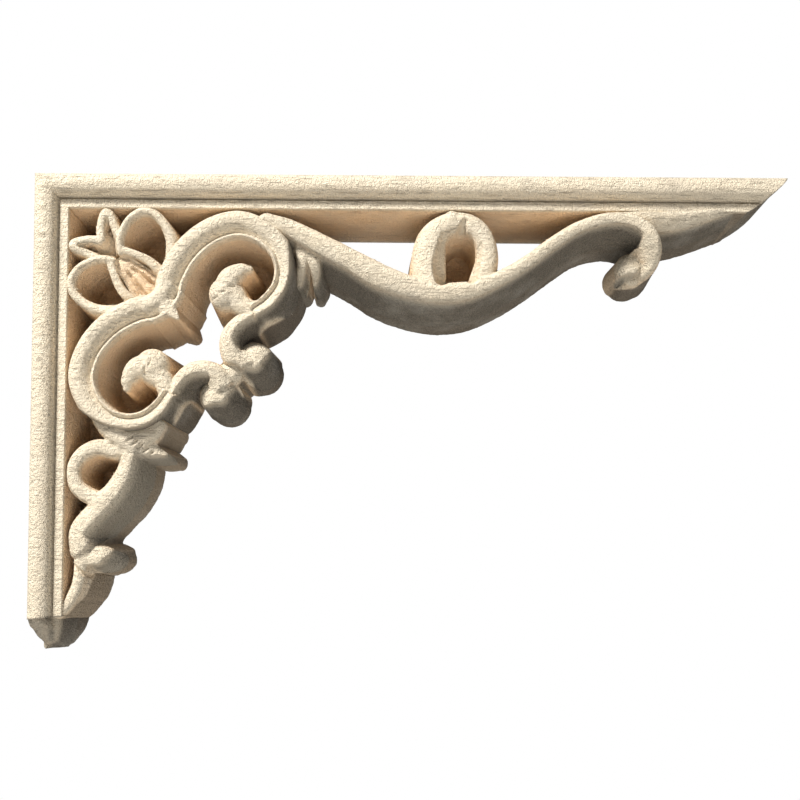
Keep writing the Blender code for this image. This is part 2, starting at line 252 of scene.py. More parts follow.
class Relief:
    """A carved piece built on a grid: an outline, a height inside it, and tapered walls to the back."""

    CORNER_EDGES = {
        1: ((0, 4, 7),), 2: ((1, 5, 4),), 3: ((0, 1, 5, 7),), 4: ((2, 6, 5),), 5: ((0, 4, 7), (2, 6, 5)),
        6: ((1, 2, 6, 4),), 7: ((0, 1, 2, 6, 7),), 8: ((3, 7, 6),), 9: ((0, 4, 6, 3),),
        10: ((1, 5, 4), (3, 7, 6)), 11: ((0, 1, 5, 6, 3),), 12: ((2, 3, 7, 5),), 13: ((0, 4, 5, 2, 3),),
        14: ((1, 2, 3, 7, 4),), 15: ((0, 1, 2, 3),),
    }
    SKIRT = 3.2
    INNER_SLOPE = 2.6
    PATH_STEPS = 9
    WALL_ROWS = 12
    ROW_SPREAD = 1.7
    ROOM_SHARE = 0.45
    LOWEST = 3.0
    # FLANK_AIM points down and to the right, away from the key light: flanks are rounded on that side, and
    # walls and flanks facing it get painted shade, set by FULL_FALL and AIR_EVENING.
    FLANK_AIM = (0.55, 0.835)
    FLANK_DEPTH = 19.0
    FLANK_GAIN = 1.5
    FULL_FALL = 0.18
    TOP_EVENING = 8
    ROOM_EVENING = 12
    AIR_EVENING = 10
    FAR_AWAY = 9.0

    def __init__(self, plan: "Scrollwork") -> None:
        """Lay out the empty grid.

        Args:
            plan: The piece to cut, with its grid, seed, marks, blend and tone.
        """
        self.pitch, self.marks, self.blend, self.tone = plan.pitch, plan.marks, plan.blend, plan.tone
        self.us, self.vs = (np.arange(low, high + self.pitch, self.pitch)
                            for low, high in zip(plan.low, plan.high))
        self.u, self.v = np.meshgrid(self.us, self.vs, indexing="ij")
        self.reach = np.full(self.u.shape, -self.FAR_AWAY)
        self.height = np.full(self.u.shape, -99.0)
        self.fall = np.zeros(self.u.shape)
        self.bare = np.zeros(self.u.shape)
        self.lumps = Lumps(plan.seed)
        self.rims = np.zeros((0, 3))

    def window(self, u0: float, u1: float, v0: float, v1: float) -> tuple[slice, slice]:
        """Find the part of the grid between limits.

        Args:
            u0: Lowest u.
            u1: Highest u.
            v0: Lowest v.
            v1: Highest v.

        Returns:
            Its rows and columns.
        """
        i = np.searchsorted(self.us, (u0, u1))
        j = np.searchsorted(self.vs, (v0, v1))
        return slice(i[0], i[1]), slice(j[0], j[1])

    def follow(self, path: Array, hand: float) -> dict[str, Array]:
        """Where each grid point lies beside a path.

        Args:
            path: Rows of (u, v, half width, last value).
            hand: 1, or -1 where right and left are swapped.

        Returns:
            Arrays over the grid: the distance off the path, its place across, the travel along it, the half
            width, the last value, and how far past an end the point lies.
        """
        names = ("side", "travel", "half", "extra", "past", "across", "away_u", "away_v")
        found = {name: np.zeros(self.u.shape) for name in names}
        found["off"] = np.full(self.u.shape, 99.0)
        travel = 0.0
        for n, (a, b) in enumerate(zip(path[:-1], path[1:])):
            margin = max(a[2], b[2]) + self.SKIRT
            part = self.window(min(a[0], b[0]) - margin, max(a[0], b[0]) + margin,
                               min(a[1], b[1]) - margin, max(a[1], b[1]) + margin)
            du, dv = b[0] - a[0], b[1] - a[1]
            length = math.hypot(du, dv)
            if length < 1e-6:
                continue
            pu, pv = self.u[part] - a[0], self.v[part] - a[1]
            raw = (pu * du + pv * dv) / length**2
            t = np.clip(raw, 0, 1)
            off = np.hypot(pu - t * du, pv - t * dv)
            across = (du * pv - dv * pu) / length * hand
            nearer = off < found["off"][part]
            past = np.zeros(t.shape)
            if n == 0:
                past = np.where(raw < 0, -raw * length, past)
            if n == len(path) - 2:
                past = np.where(raw > 1, (raw - 1) * length, past)
            values = {"off": off, "side": np.where(across < 0, -off, off), "travel": travel + t * length,
                      "half": a[2] + t * (b[2] - a[2]), "extra": a[3] + t * (b[3] - a[3]), "past": past,
                      "across": across, "away_u": pu - t * du, "away_v": pv - t * dv}
            for name, value in values.items():
                found[name][part] = np.where(nearer, value, found[name][part])
            travel += length
        return found

    def lay(self, reach: Array, height: Array, near: Array, fall: Array, bare: float = 0.0) -> None:
        """Join one form to the relief.

        Args:
            reach: How far inside its outline each grid point lies.
            height: Its height.
            near: Where the form counts at all.
            fall: How far its rounded flank has fallen.
            bare: How freshly cut its top looks.
        """
        height = np.where(near, height, -99.0)
        higher = height > self.height
        self.fall = np.where(higher, fall, self.fall)
        self.bare = np.where(higher, bare, self.bare)
        gap = np.abs(self.height - height)
        soft = np.maximum(self.blend - gap, 0) ** 2 / (4 * self.blend)
        self.height = np.maximum(self.height, height) + soft
        self.reach = np.maximum(self.reach, np.where(near, reach, -self.FAR_AWAY))

    @staticmethod
    def fallen(inside: Array, flank: Array) -> Array:
        """How far a rounded flank has fallen: 0 at its crest and most at the outline."""
        share = np.clip(1 - inside / np.maximum(flank, 0.3), 0, 1)
        return (1 - np.sqrt(1 - 0.9 * share**2)) * np.clip(flank, 0, 1)

    def add_bar(self, bar: Bar) -> None:
        """Lay one bar on the relief.

        Args:
            bar: The bar.
        """
        filled = [[*p[:3], p[3] if len(p) > 3 else 0.0] for p in bar.points]
        path = np.array(smooth_path(filled, self.PATH_STEPS))
        at = self.follow(path, bar.hand)
        half = np.maximum(at["half"], 0.05)
        place = at["side"] / half
        aim_u, aim_v = self.FLANK_AIM
        facing = (at["away_u"] * aim_u + at["away_v"] * aim_v) / np.maximum(at["off"], 0.01)
        turned = np.clip(at["across"] * bar.flank_side / half, 0, 1) if bar.flank_side else 1.0
        flank = bar.flank * np.clip(facing * self.FLANK_GAIN, 0, 1) * turned
        inside = half - at["off"]
        fall = self.fallen(inside, flank)
        if not bar.round_ends:
            inside = np.minimum(inside, 0.4 - at["past"])
        edge = np.clip(place, -1, 1)
        height = bar.crest - at["extra"] - bar.profile.drop(edge) * half
        height -= np.maximum(-inside, 0) * self.INNER_SLOPE + fall * self.FLANK_DEPTH
        waves = self.lumps.at(at["travel"] / 1.7, at["side"] / 6.0)
        height += bar.chatter * waves
        self.lay(inside, height, inside > -self.SKIRT, fall, bar.bare)

    def add_knob(self, knob: Knob) -> None:
        """Lay one knob on the relief.

        Args:
            knob: The knob.
        """
        du, dv = (self.u - knob.centre[0]) / knob.stretch[0], (self.v - knob.centre[1]) / knob.stretch[1]
        off = np.hypot(du, dv)
        facing = (du * self.FLANK_AIM[0] + dv * self.FLANK_AIM[1]) / np.maximum(off, 0.01)
        share = off / knob.radius
        flank = knob.flank * np.clip(facing * self.FLANK_GAIN, 0, 1) * np.clip(share * self.FLANK_GAIN, 0, 1)
        share = np.clip(share, 0, 1)
        inside = knob.radius - off
        fall = self.fallen(inside, flank)
        height = knob.crest - knob.radius * knob.dome * (1 - np.sqrt(1 - share**2 * 0.98))
        height -= np.maximum(-inside, 0) * self.INNER_SLOPE + fall * self.FLANK_DEPTH
        self.lay(inside, height, inside > -self.SKIRT, fall)

    def cut(self, gouge: Gouge) -> None:
        """Cut one hollow into the relief.

        Args:
            gouge: The hollow.
        """
        path = np.array(smooth_path([list(p) for p in gouge.points], self.PATH_STEPS))
        at = self.follow(path, 1.0)
        share = np.clip(at["off"] / np.maximum(at["half"], 0.05), 0, 1)
        self.height -= at["extra"] * (1 - share**2) ** 1.5

    def build(self, forms: list[object]) -> None:
        """Lay every form in order and roughen the top.

        Args:
            forms: Bars, knobs and gouges.
        """
        for form in forms:
            if isinstance(form, Bar):
                self.add_bar(form)
            elif isinstance(form, Knob):
                self.add_knob(form)
        for form in forms:
            if isinstance(form, Gouge):
                self.cut(form)
        for _ in range(3):
            for kept in (self.fall, self.bare):
                kept[1:-1, 1:-1] = (kept[1:-1, 1:-1] * 2 + kept[:-2, 1:-1] + kept[2:, 1:-1]
                                    + kept[1:-1, :-2] + kept[1:-1, 2:]) / 6
        marks = self.marks
        fuzz = self.lumps.layered(self.u / marks.fuzz_size, self.v / marks.fuzz_size)
        waves = self.lumps.layered(self.u / marks.wave_size + 5.5, self.v / marks.wave_size + 2.2, 2)
        self.height += marks.fuzz * fuzz + marks.waves * waves
        self.height = np.clip(self.height, self.LOWEST, DEPTH - 0.02)

    def sample(self, values: Array, u: Array, v: Array) -> Array:
        """Read a grid array between its points.

        Args:
            values: The array.
            u: Places along u.
            v: Places along v.

        Returns:
            The blended values.
        """
        x = np.clip((u - self.us[0]) / self.pitch, 0, len(self.us) - 1.001)
        y = np.clip((v - self.vs[0]) / self.pitch, 0, len(self.vs) - 1.001)
        i, j = x.astype(int), y.astype(int)
        s, t = x - i, y - j
        low = values[i, j] * (1 - s) + values[i + 1, j] * s
        high = values[i, j + 1] * (1 - s) + values[i + 1, j + 1] * s
        return low * (1 - t) + high * t

    def outline(self) -> tuple[Array, list[list[int]], Array]:
        """Follow the outline through the grid.

        Returns:
            The top's points as rows of (u, v, h), the faces over them, and the outline's directed edges.
        """
        inside = self.reach > 0
        rows, columns = inside.shape
        node = np.full(inside.shape, -1)
        node[inside] = np.arange(inside.sum())
        points = [np.stack([self.u[inside], self.v[inside], self.height[inside]], axis=-1)]
        count = int(inside.sum())
        crossing = []
        for di, dj in ((1, 0), (0, 1)):
            first = (slice(0, rows - di), slice(0, columns - dj))
            second = (slice(di, rows), slice(dj, columns))
            cut = inside[first] != inside[second]
            index = np.full(inside.shape, -1)
            index[first][cut] = count + np.arange(cut.sum())
            count += int(cut.sum())
            r0, r1 = self.reach[first][cut], self.reach[second][cut]
            t = np.clip(r0 / (r0 - r1), 0.06, 0.94)
            u = self.u[first][cut] * (1 - t) + self.u[second][cut] * t
            v = self.v[first][cut] * (1 - t) + self.v[second][cut] * t
            h0, h1 = self.height[first][cut], self.height[second][cut]
            h = np.where(r0 > 0, h0, h1) * 0.45 + np.maximum(h0 * (1 - t) + h1 * t, 1.0) * 0.55
            points.append(np.stack([u, v, h], axis=-1))
            crossing.append(index)
        along_u, along_v = crossing
        corner = inside.astype(int)
        code = corner[:-1, :-1] + 2 * corner[1:, :-1] + 4 * corner[1:, 1:] + 8 * corner[:-1, 1:]
        tokens = [node[:-1, :-1], node[1:, :-1], node[1:, 1:], node[:-1, 1:],
                  along_u[:-1, :-1], along_v[1:, :-1], along_u[:-1, 1:], along_v[:-1, :-1]]
        faces, edges = [], []
        for case, shapes in self.CORNER_EDGES.items():
            cells = code == case
            for shape in shapes:
                corners = np.stack([tokens[token][cells] for token in shape], axis=-1)
                faces += corners.tolist()
                for a, b in zip(range(len(shape)), [*range(1, len(shape)), 0]):
                    if shape[a] > 3 and shape[b] > 3:
                        edges.append(corners[:, [a, b]])
        return np.concatenate(points), faces, np.concatenate(edges)

    def walls(self, top: Array, edges: Array, yard: "Yard") -> tuple[Array, Array, Array]:
        """The rows of points from the outline down to the back.

        Args:
            top: Points of the top as rows of (u, v, h).
            edges: Directed outline edges.
            yard: What stands where, to tell outer walls from inner ones.

        Returns:
            The indices of the outline's points, an array (rows, points, 3) of the places below them, and
            the painted shade of each: how much open air lies in front of it, facing down and right, away from
                the light.
        """
        ring = np.unique(edges[:, 0])
        follower = np.zeros(len(top), int)
        follower[edges[:, 0]] = edges[:, 1]
        slope_u, slope_v = np.gradient(self.reach, self.pitch)
        u, v, h = top[ring].T
        nu, nv = -self.sample(slope_u, u, v), -self.sample(slope_v, u, v)
        place = np.zeros(len(top), int)
        place[ring] = np.arange(len(ring))
        ahead = place[follower[ring]]
        behind = np.zeros(len(ring), int)
        behind[ahead] = np.arange(len(ring))
        beside = (ahead, behind)
        h, nu, nv = (evened(values, beside, self.TOP_EVENING) for values in (h, nu, nv))
        top[ring, 2] = h
        size = np.maximum(np.hypot(nu, nv), 1e-6)
        nu, nv = nu / size, nv / size
        room = np.full(len(ring), self.FAR_AWAY)
        for step in np.arange(1.0, 6.0, 0.2):
            met = self.sample(self.reach, u + nu * step, v + nv * step) > 0.0
            room = np.where(met & (room == self.FAR_AWAY), step, room)
        for _ in range(6):
            room = np.minimum(room, np.minimum(room[ahead], room[behind]))
        room = evened(room, beside, self.ROOM_EVENING)
        marks = self.marks
        streak = self.lumps.layered(u / marks.streak_size, v / marks.streak_size, 2)
        rows = []
        for row in range(1, self.WALL_ROWS + 1):
            share = (row / self.WALL_ROWS) ** self.ROW_SPREAD
            level = self.tone.seat + (h - self.tone.seat) * (1 - share)
            lean = np.minimum(math.tan(WALL_TAPER) * (h - level), room * self.ROOM_SHARE)
            fine = self.lumps.layered(u / 0.8 + 31.0, v / 0.8 + level / 4.0, 2)
            push = marks.streaks * streak * min(1.0, share * 4) + 0.05 * fine - 0.1
            out = lean + push * min(1.0, share * 6)
            rows.append(np.stack([u + nu * out, v + nv * out, level], axis=-1))
        # Painted shade on outer walls: those facing down and right, away from the key light, with no wood in
        # front.
        aside = np.clip((nu * self.FLANK_AIM[0] + nv * self.FLANK_AIM[1]) * 2.0 + 0.2, 0, 1)
        outer = evened(yard.open_air(u, v, nu, nv) * aside, beside, self.AIR_EVENING)
        return ring, np.array(rows), outer

    def make_object(self, name: str, yard: "Yard") -> bpy.types.Object:
        """The finished closed piece, with its wall tint (cut colour and painted bounce light) and painted
        shade on its points.

        Args:
            name: The piece's name.
            yard: What stands where.

        Returns:
            The new object.
        """
        top, faces, edges = self.outline()
        ring, rows, outer = self.walls(top, edges, yard)
        back = top.copy()
        back[:, 2] = self.tone.seat
        back[ring] = rows[-1]
        count = len(top)
        below = [np.arange(count)]
        points = [top]
        start = count
        for row in rows[:-1]:
            index = np.full(count, -1)
            index[ring] = start + np.arange(len(ring))
            below.append(index)
            points.append(row)
            start += len(ring)
        below.append(np.arange(count) + start)
        points.append(back)
        polygons = [face[::-1] for face in faces]
        polygons += [[corner + start for corner in face] for face in faces]
        for upper, lower in zip(below, below[1:]):
            a, b = edges[:, 0], edges[:, 1]
            polygons += np.stack([upper[a], upper[b], lower[b], lower[a]], axis=-1).tolist()
        places = np.concatenate(points)
        places[:, 0] = np.clip(places[:, 0], 0.0, RAIL_LENGTH)
        places[:, 1] = np.clip(places[:, 1], 0.0, FULL_HEIGHT)
        mesh = bpy.data.meshes.new(name)
        mesh.from_pydata(to_world(*places.T), [], polygons)
        walled, painted_shade = np.zeros(len(places)), np.zeros(len(places))
        grids = (*np.gradient(self.height, self.pitch), self.fall, self.bare)
        steep_u, steep_v, fall, bare = (self.sample(grid, top[:, 0], top[:, 1]) for grid in grids)
        steep = np.hypot(steep_u, steep_v)
        # Steep inner slopes and bare tops take the wall tint, fresh-cut colour with painted warm bounce
        # light; fallen flanks don't.
        tinted = np.clip((steep - 1.4) / 3.0, 0, 0.7) * np.clip(1 - fall * 8, 0, 1)
        walled[:count] = np.maximum(tinted, bare)
        # Painted shade on the top: flanks falling away down and right, away from the key light, darken as
        # they fall, and every point gets at least the piece's least shade.
        fallen = np.clip(fall / self.FULL_FALL, 0, 1) ** 0.75
        painted_shade[:count] = np.maximum(fallen * self.tone.painted_shade_gain, self.tone.least)
        outer = np.maximum(outer * self.tone.painted_shade_gain, painted_shade[ring])
        held = painted_shade[ring] / np.maximum(outer, 0.01)
        # Down each wall the painted shade and the wall tint grow from the rim's values to full.
        for index, row in zip([*below[1:-1], ring + start], rows):
            index = index[ring] if len(index) == count else index
            walled[index] = np.clip((top[ring, 2] - row[:, 2]) / 1.2, walled[ring], 1.0)
            painted_shade[index] = outer * np.clip((top[ring, 2] - row[:, 2]) / 2.0, held, 1.0)
        keep_values(mesh, "walled", walled)
        keep_values(mesh, "painted_shade", painted_shade)
        self.rims = top[ring]
        return finish_mesh(name, mesh)


class Yard:
    """A coarse map of where wood stands, used to see whether a wall faces open air and so gets painted shade.
    """

    PITCH = 0.5
    FAR = 46.0

    def __init__(self) -> None:
        """Mark the two arms of the frame."""
        shape = (int(RAIL_LENGTH / self.PITCH) + 2, int(FULL_HEIGHT / self.PITCH) + 2)
        self.solid = np.zeros(shape, bool)
        width = int(RAIL_WIDTH / self.PITCH)
        self.solid[:width, :] = True
        self.solid[:, :width] = True

    def add(self, relief: Relief) -> None:
        """Mark where a relief stands.

        Args:
            relief: The relief.
        """
        inside = relief.reach > 0
        i = np.clip((relief.u[inside] / self.PITCH).astype(int), 0, self.solid.shape[0] - 1)
        j = np.clip((relief.v[inside] / self.PITCH).astype(int), 0, self.solid.shape[1] - 1)
        self.solid[i, j] = True

    def open_air(self, u: Array, v: Array, nu: Array, nv: Array) -> Array:
        """Look out from a wall for other wood.

        Args:
            u: Places along u.
            v: Places along v.
            nu: The wall's normal along u.
            nv: The wall's normal along v.

        Returns:
            1 where a line along the normal meets no wood, and 0 elsewhere.
        """
        free = np.ones(len(u))
        for step in np.arange(3.0, self.FAR, self.PITCH):
            i = ((u + nu * step) / self.PITCH).astype(int)
            j = ((v + nv * step) / self.PITCH).astype(int)
            within = (i >= 0) & (j >= 0) & (i < self.solid.shape[0]) & (j < self.solid.shape[1])
            i, j = np.clip(i, 0, self.solid.shape[0] - 1), np.clip(j, 0, self.solid.shape[1] - 1)
            free = np.where(within & self.solid[i, j], 0.0, free)
        return free


def evened(values: Array, beside: tuple[Array, Array], times: int) -> Array:
    """Even out values along a closed outline.

    Args:
        values: One value for each point of the outline.
        beside: The indices of the points ahead and behind.
        times: How often it is done.

    Returns:
        The evened values.
    """
    ahead, behind = beside
    for _ in range(times):
        values = values * 0.5 + (values[ahead] + values[behind]) * 0.25
    return values


def keep_values(mesh: bpy.types.Mesh, name: str, values: Array) -> None:
    """Keep one value on each point of a mesh."""
    mesh.attributes.new(name, "FLOAT", "POINT").data.foreach_set("value", values)


def finish_mesh(name: str, mesh: bpy.types.Mesh) -> bpy.types.Object:
    """Put a mesh in the scene with smooth shading and sharp corners.

    Args:
        name: The object's name.
        mesh: The mesh.

    Returns:
        The new object.
    """
    mesh.validate()
    mesh.shade_smooth()
    mesh.set_sharp_from_angle(angle=SHARP_ANGLE)
    made = bpy.data.objects.new(name, mesh)
    bpy.context.scene.collection.objects.link(made)
    return made


class NodeGraph:
    """A small helper that adds nodes and joins them by name."""

    def __init__(self, tree: bpy.types.NodeTree) -> None:
        """Keep the tree."""
        self.tree = tree

    @classmethod
    def for_shape(cls, name: str, shape: str, numbers: tuple[str, ...], whole: str) -> "NodeGraph":
        """Start a Geometry Nodes tree that makes one piece of wood.

        Args:
            name: The tree's name.
            shape: The name of the geometry that it takes.
            numbers: The names of the numbers that it takes.
            whole: The name of the whole number that it takes.

        Returns:
            The helper for the new tree.
        """
        tree = bpy.data.node_groups.new(name, "GeometryNodeTree")
        tree.interface.new_socket("Geometry", in_out="OUTPUT", socket_type="NodeSocketGeometry")
        kinds = {shape: "Geometry", **dict.fromkeys(numbers, "Float"), whole: "Int", "Wood": "Material"}
        for socket, kind in kinds.items():
            tree.interface.new_socket(socket, in_out="INPUT", socket_type="NodeSocket" + kind)
        return cls(tree)

    def finish(self, part: Socket, wood: Socket) -> bpy.types.NodeTree:
        """End a Geometry Nodes tree with real geometry in its material.

        Args:
            part: The geometry.
            wood: The material's socket.

        Returns:
            The finished tree.
        """
        real = self.add("GeometryNodeRealizeInstances", {0: part})
        dressed = self.add("GeometryNodeSetMaterial", {0: real.outputs[0], "Material": wood})
        self.add("NodeGroupOutput", {0: dressed.outputs[0]})
        return self.tree

    @staticmethod
    def run(tree: bpy.types.NodeTree, start: bpy.types.Mesh, values: dict[str, object]) -> bpy.types.Mesh:
        """Run a Geometry Nodes tree on a mesh.

        Args:
            tree: The tree.
            start: The mesh that it takes.
            values: Its other inputs by name.

        Returns:
            The plain mesh that it makes.
        """
        maker = bpy.data.objects.new(start.name, start)
        bpy.context.scene.collection.objects.link(maker)
        modifier = maker.modifiers.new("make", "NODES")
        modifier.node_group = tree
        for item in tree.interface.items_tree:
            if item.name in values:
                modifier[item.identifier] = values[item.name]
        evaluated = maker.evaluated_get(bpy.context.evaluated_depsgraph_get())
        made = bpy.data.meshes.new_from_object(evaluated)
        bpy.data.objects.remove(maker, do_unlink=True)
        return made

    def add(self, kind: str, inputs: dict | None = None, **settings: object) -> bpy.types.Node:
        """Add one node.

        Args:
            kind: Blender's node type.
            inputs: Input name or number to a value or to a socket to join.
            settings: Attributes of the node.

        Returns:
            The node.
        """
        node = self.tree.nodes.new(kind)
        for name, value in settings.items():
            setattr(node, name, value)
        for name, value in (inputs or {}).items():
            if isinstance(value, Socket):
                self.tree.links.new(value, node.inputs[name])
            else:
                node.inputs[name].default_value = value
        return node

    def maths(self, operation: str, *values: object) -> Socket:
        """One Math node's result."""
        return self.add("ShaderNodeMath", dict(enumerate(values)), operation=operation).outputs[0]

    def noise(self, place: Socket, scale: float, detail: float, stretch: Point | None = None) -> Socket:
        """Add a noise texture.

        Args:
            place: Where it is read.
            scale: How fine it is.
            detail: How many finer layers it has.
            stretch: What the places are multiplied by first.

        Returns:
            Its value.
        """
        if stretch:
            place = self.add("ShaderNodeMapping", {"Vector": place, "Scale": stretch}).outputs[0]
        values = {"Vector": place, "Scale": scale, "Detail": detail}
        return self.add("ShaderNodeTexNoise", values).outputs["Fac"]

    def ramp(self, value: Socket, low: float, high: float, top: float = 1.0) -> Socket:
        """A value that rises from 0 at low to top at high."""
        return self.add("ShaderNodeMapRange", {"Value": value, "From Min": low, "From Max": high,
                                               "To Max": top}).outputs["Result"]


@dataclass(frozen=True)
class RawWood:
    """Raw pale wood, machine carved: its colours, grain and surface."""

    pale: tuple[float, float, float] = (0.84, 0.76, 0.61)
    warm: tuple[float, float, float] = (0.72, 0.60, 0.44)
    # Tan for walls and steep cuts: partly fresh-cut wood, partly painted warm bounce light in the hollows.
    cut: tuple[float, float, float] = (0.93, 0.69, 0.45)
    # Near-black painted shade for the outer walls and flanks that face away from the key light.
    painted_shade_colour: tuple[float, float, float] = (0.062, 0.054, 0.046)
    dust: tuple[float, float, float] = (0.60, 0.575, 0.51)
    pore: tuple[float, float, float] = (0.36, 0.27, 0.18)
    shade: tuple[float, float, float] = (0.56, 0.48, 0.36)
    roughness: float = 0.78
    shine: float = 0.25
    lump_height: float = 0.00075
    lump_strength: float = 0.9
    cut_and_bounce_share: float = 0.85
    painted_shade_share: float = 0.92
    dust_share: float = 0.3
    pore_share: float = 0.16
    shade_share: float = 0.32
    patch_scale: float = 60.0
    speck_scale: float = 2300.0
    fuzz_scale: float = 950.0
    grain_stretch: Point = (55.0, 620.0, 620.0)
    pore_stretch: Point = (160.0, 1900.0, 1900.0)

    def material(self) -> bpy.types.Material:
        """Build the wood's shader nodes on Object coordinates, in metres.

        Returns:
            The new material.
        """
        wood = bpy.data.materials.new("raw_pale_wood")
        wood.use_nodes = True
        graph = NodeGraph(wood.node_tree)
        shader = wood.node_tree.nodes["Principled BSDF"]
        place = graph.add("ShaderNodeTexCoord").outputs["Object"]
        walled, painted_shade = (graph.add("ShaderNodeAttribute", attribute_name=name).outputs["Fac"]
                           for name in ("walled", "painted_shade"))
        grain = graph.noise(place, 1.0, 5.0, self.grain_stretch)
        patches = graph.noise(place, self.patch_scale, 4.0)
        specks = graph.noise(place, self.speck_scale, 3.0)
        fuzz = graph.noise(place, self.fuzz_scale, 3.0)
        pores = graph.ramp(graph.noise(place, 1.0, 2.0, self.pore_stretch), 0.6, 0.7)
        tone = graph.maths("MULTIPLY_ADD", grain, 0.9, -0.18)
        tone = graph.maths("ADD", tone, graph.maths("MULTIPLY_ADD", patches, 0.7, -0.35))
        tone = graph.maths("MAXIMUM", graph.maths("MINIMUM", tone, 1.0), 0.0)
        base = self.mix(graph, tone, self.pale, self.warm)
        # The wall tint is fresh-cut colour with painted warm bounce light, and the near-black mix is painted
        # shade; dust, pores and specks are the wood's own colour.
        for share, colour in (
            (graph.maths("MULTIPLY", walled, self.cut_and_bounce_share), self.cut),
            (graph.maths("MULTIPLY", painted_shade, self.painted_shade_share), self.painted_shade_colour),
            (graph.ramp(patches, 0.5, 0.7, self.dust_share), self.dust),
            (graph.maths("MULTIPLY", pores, self.pore_share), self.pore),
            (graph.ramp(specks, 0.35, 0.7, self.shade_share), self.shade),
        ):
            base = self.mix(graph, share, base, colour)
        wood.node_tree.links.new(base, shader.inputs["Base Color"])
        shader.inputs["Roughness"].default_value = self.roughness
        shader.inputs["Specular IOR Level"].default_value = self.shine
        lumps = graph.maths("MULTIPLY_ADD", specks, 1.1, grain)
        lumps = graph.maths("MULTIPLY_ADD", fuzz, 1.3, lumps)
        lumps = graph.maths("MULTIPLY_ADD", pores, -0.8, lumps)
        bump = graph.add("ShaderNodeBump", {"Height": lumps, "Strength": self.lump_strength,
                                            "Distance": self.lump_height})
        wood.node_tree.links.new(bump.outputs["Normal"], shader.inputs["Normal"])
        return wood

    @staticmethod
    def mix(graph: NodeGraph, share: Socket, first: Socket | Point, second: Socket | Point) -> Socket:
        """Blend two colours.

        Args:
            graph: The material's helper.
            share: How much of the second.
            first: A colour or a socket.
            second: A colour or a socket.

        Returns:
            The blended colour.
        """
        colours = [(*colour, 1.0) if isinstance(colour, tuple) else colour for colour in (first, second)]
        blend = graph.add("ShaderNodeMix", {0: share, 6: colours[0], 7: colours[1]}, data_type="RGBA")
        return blend.outputs[2]


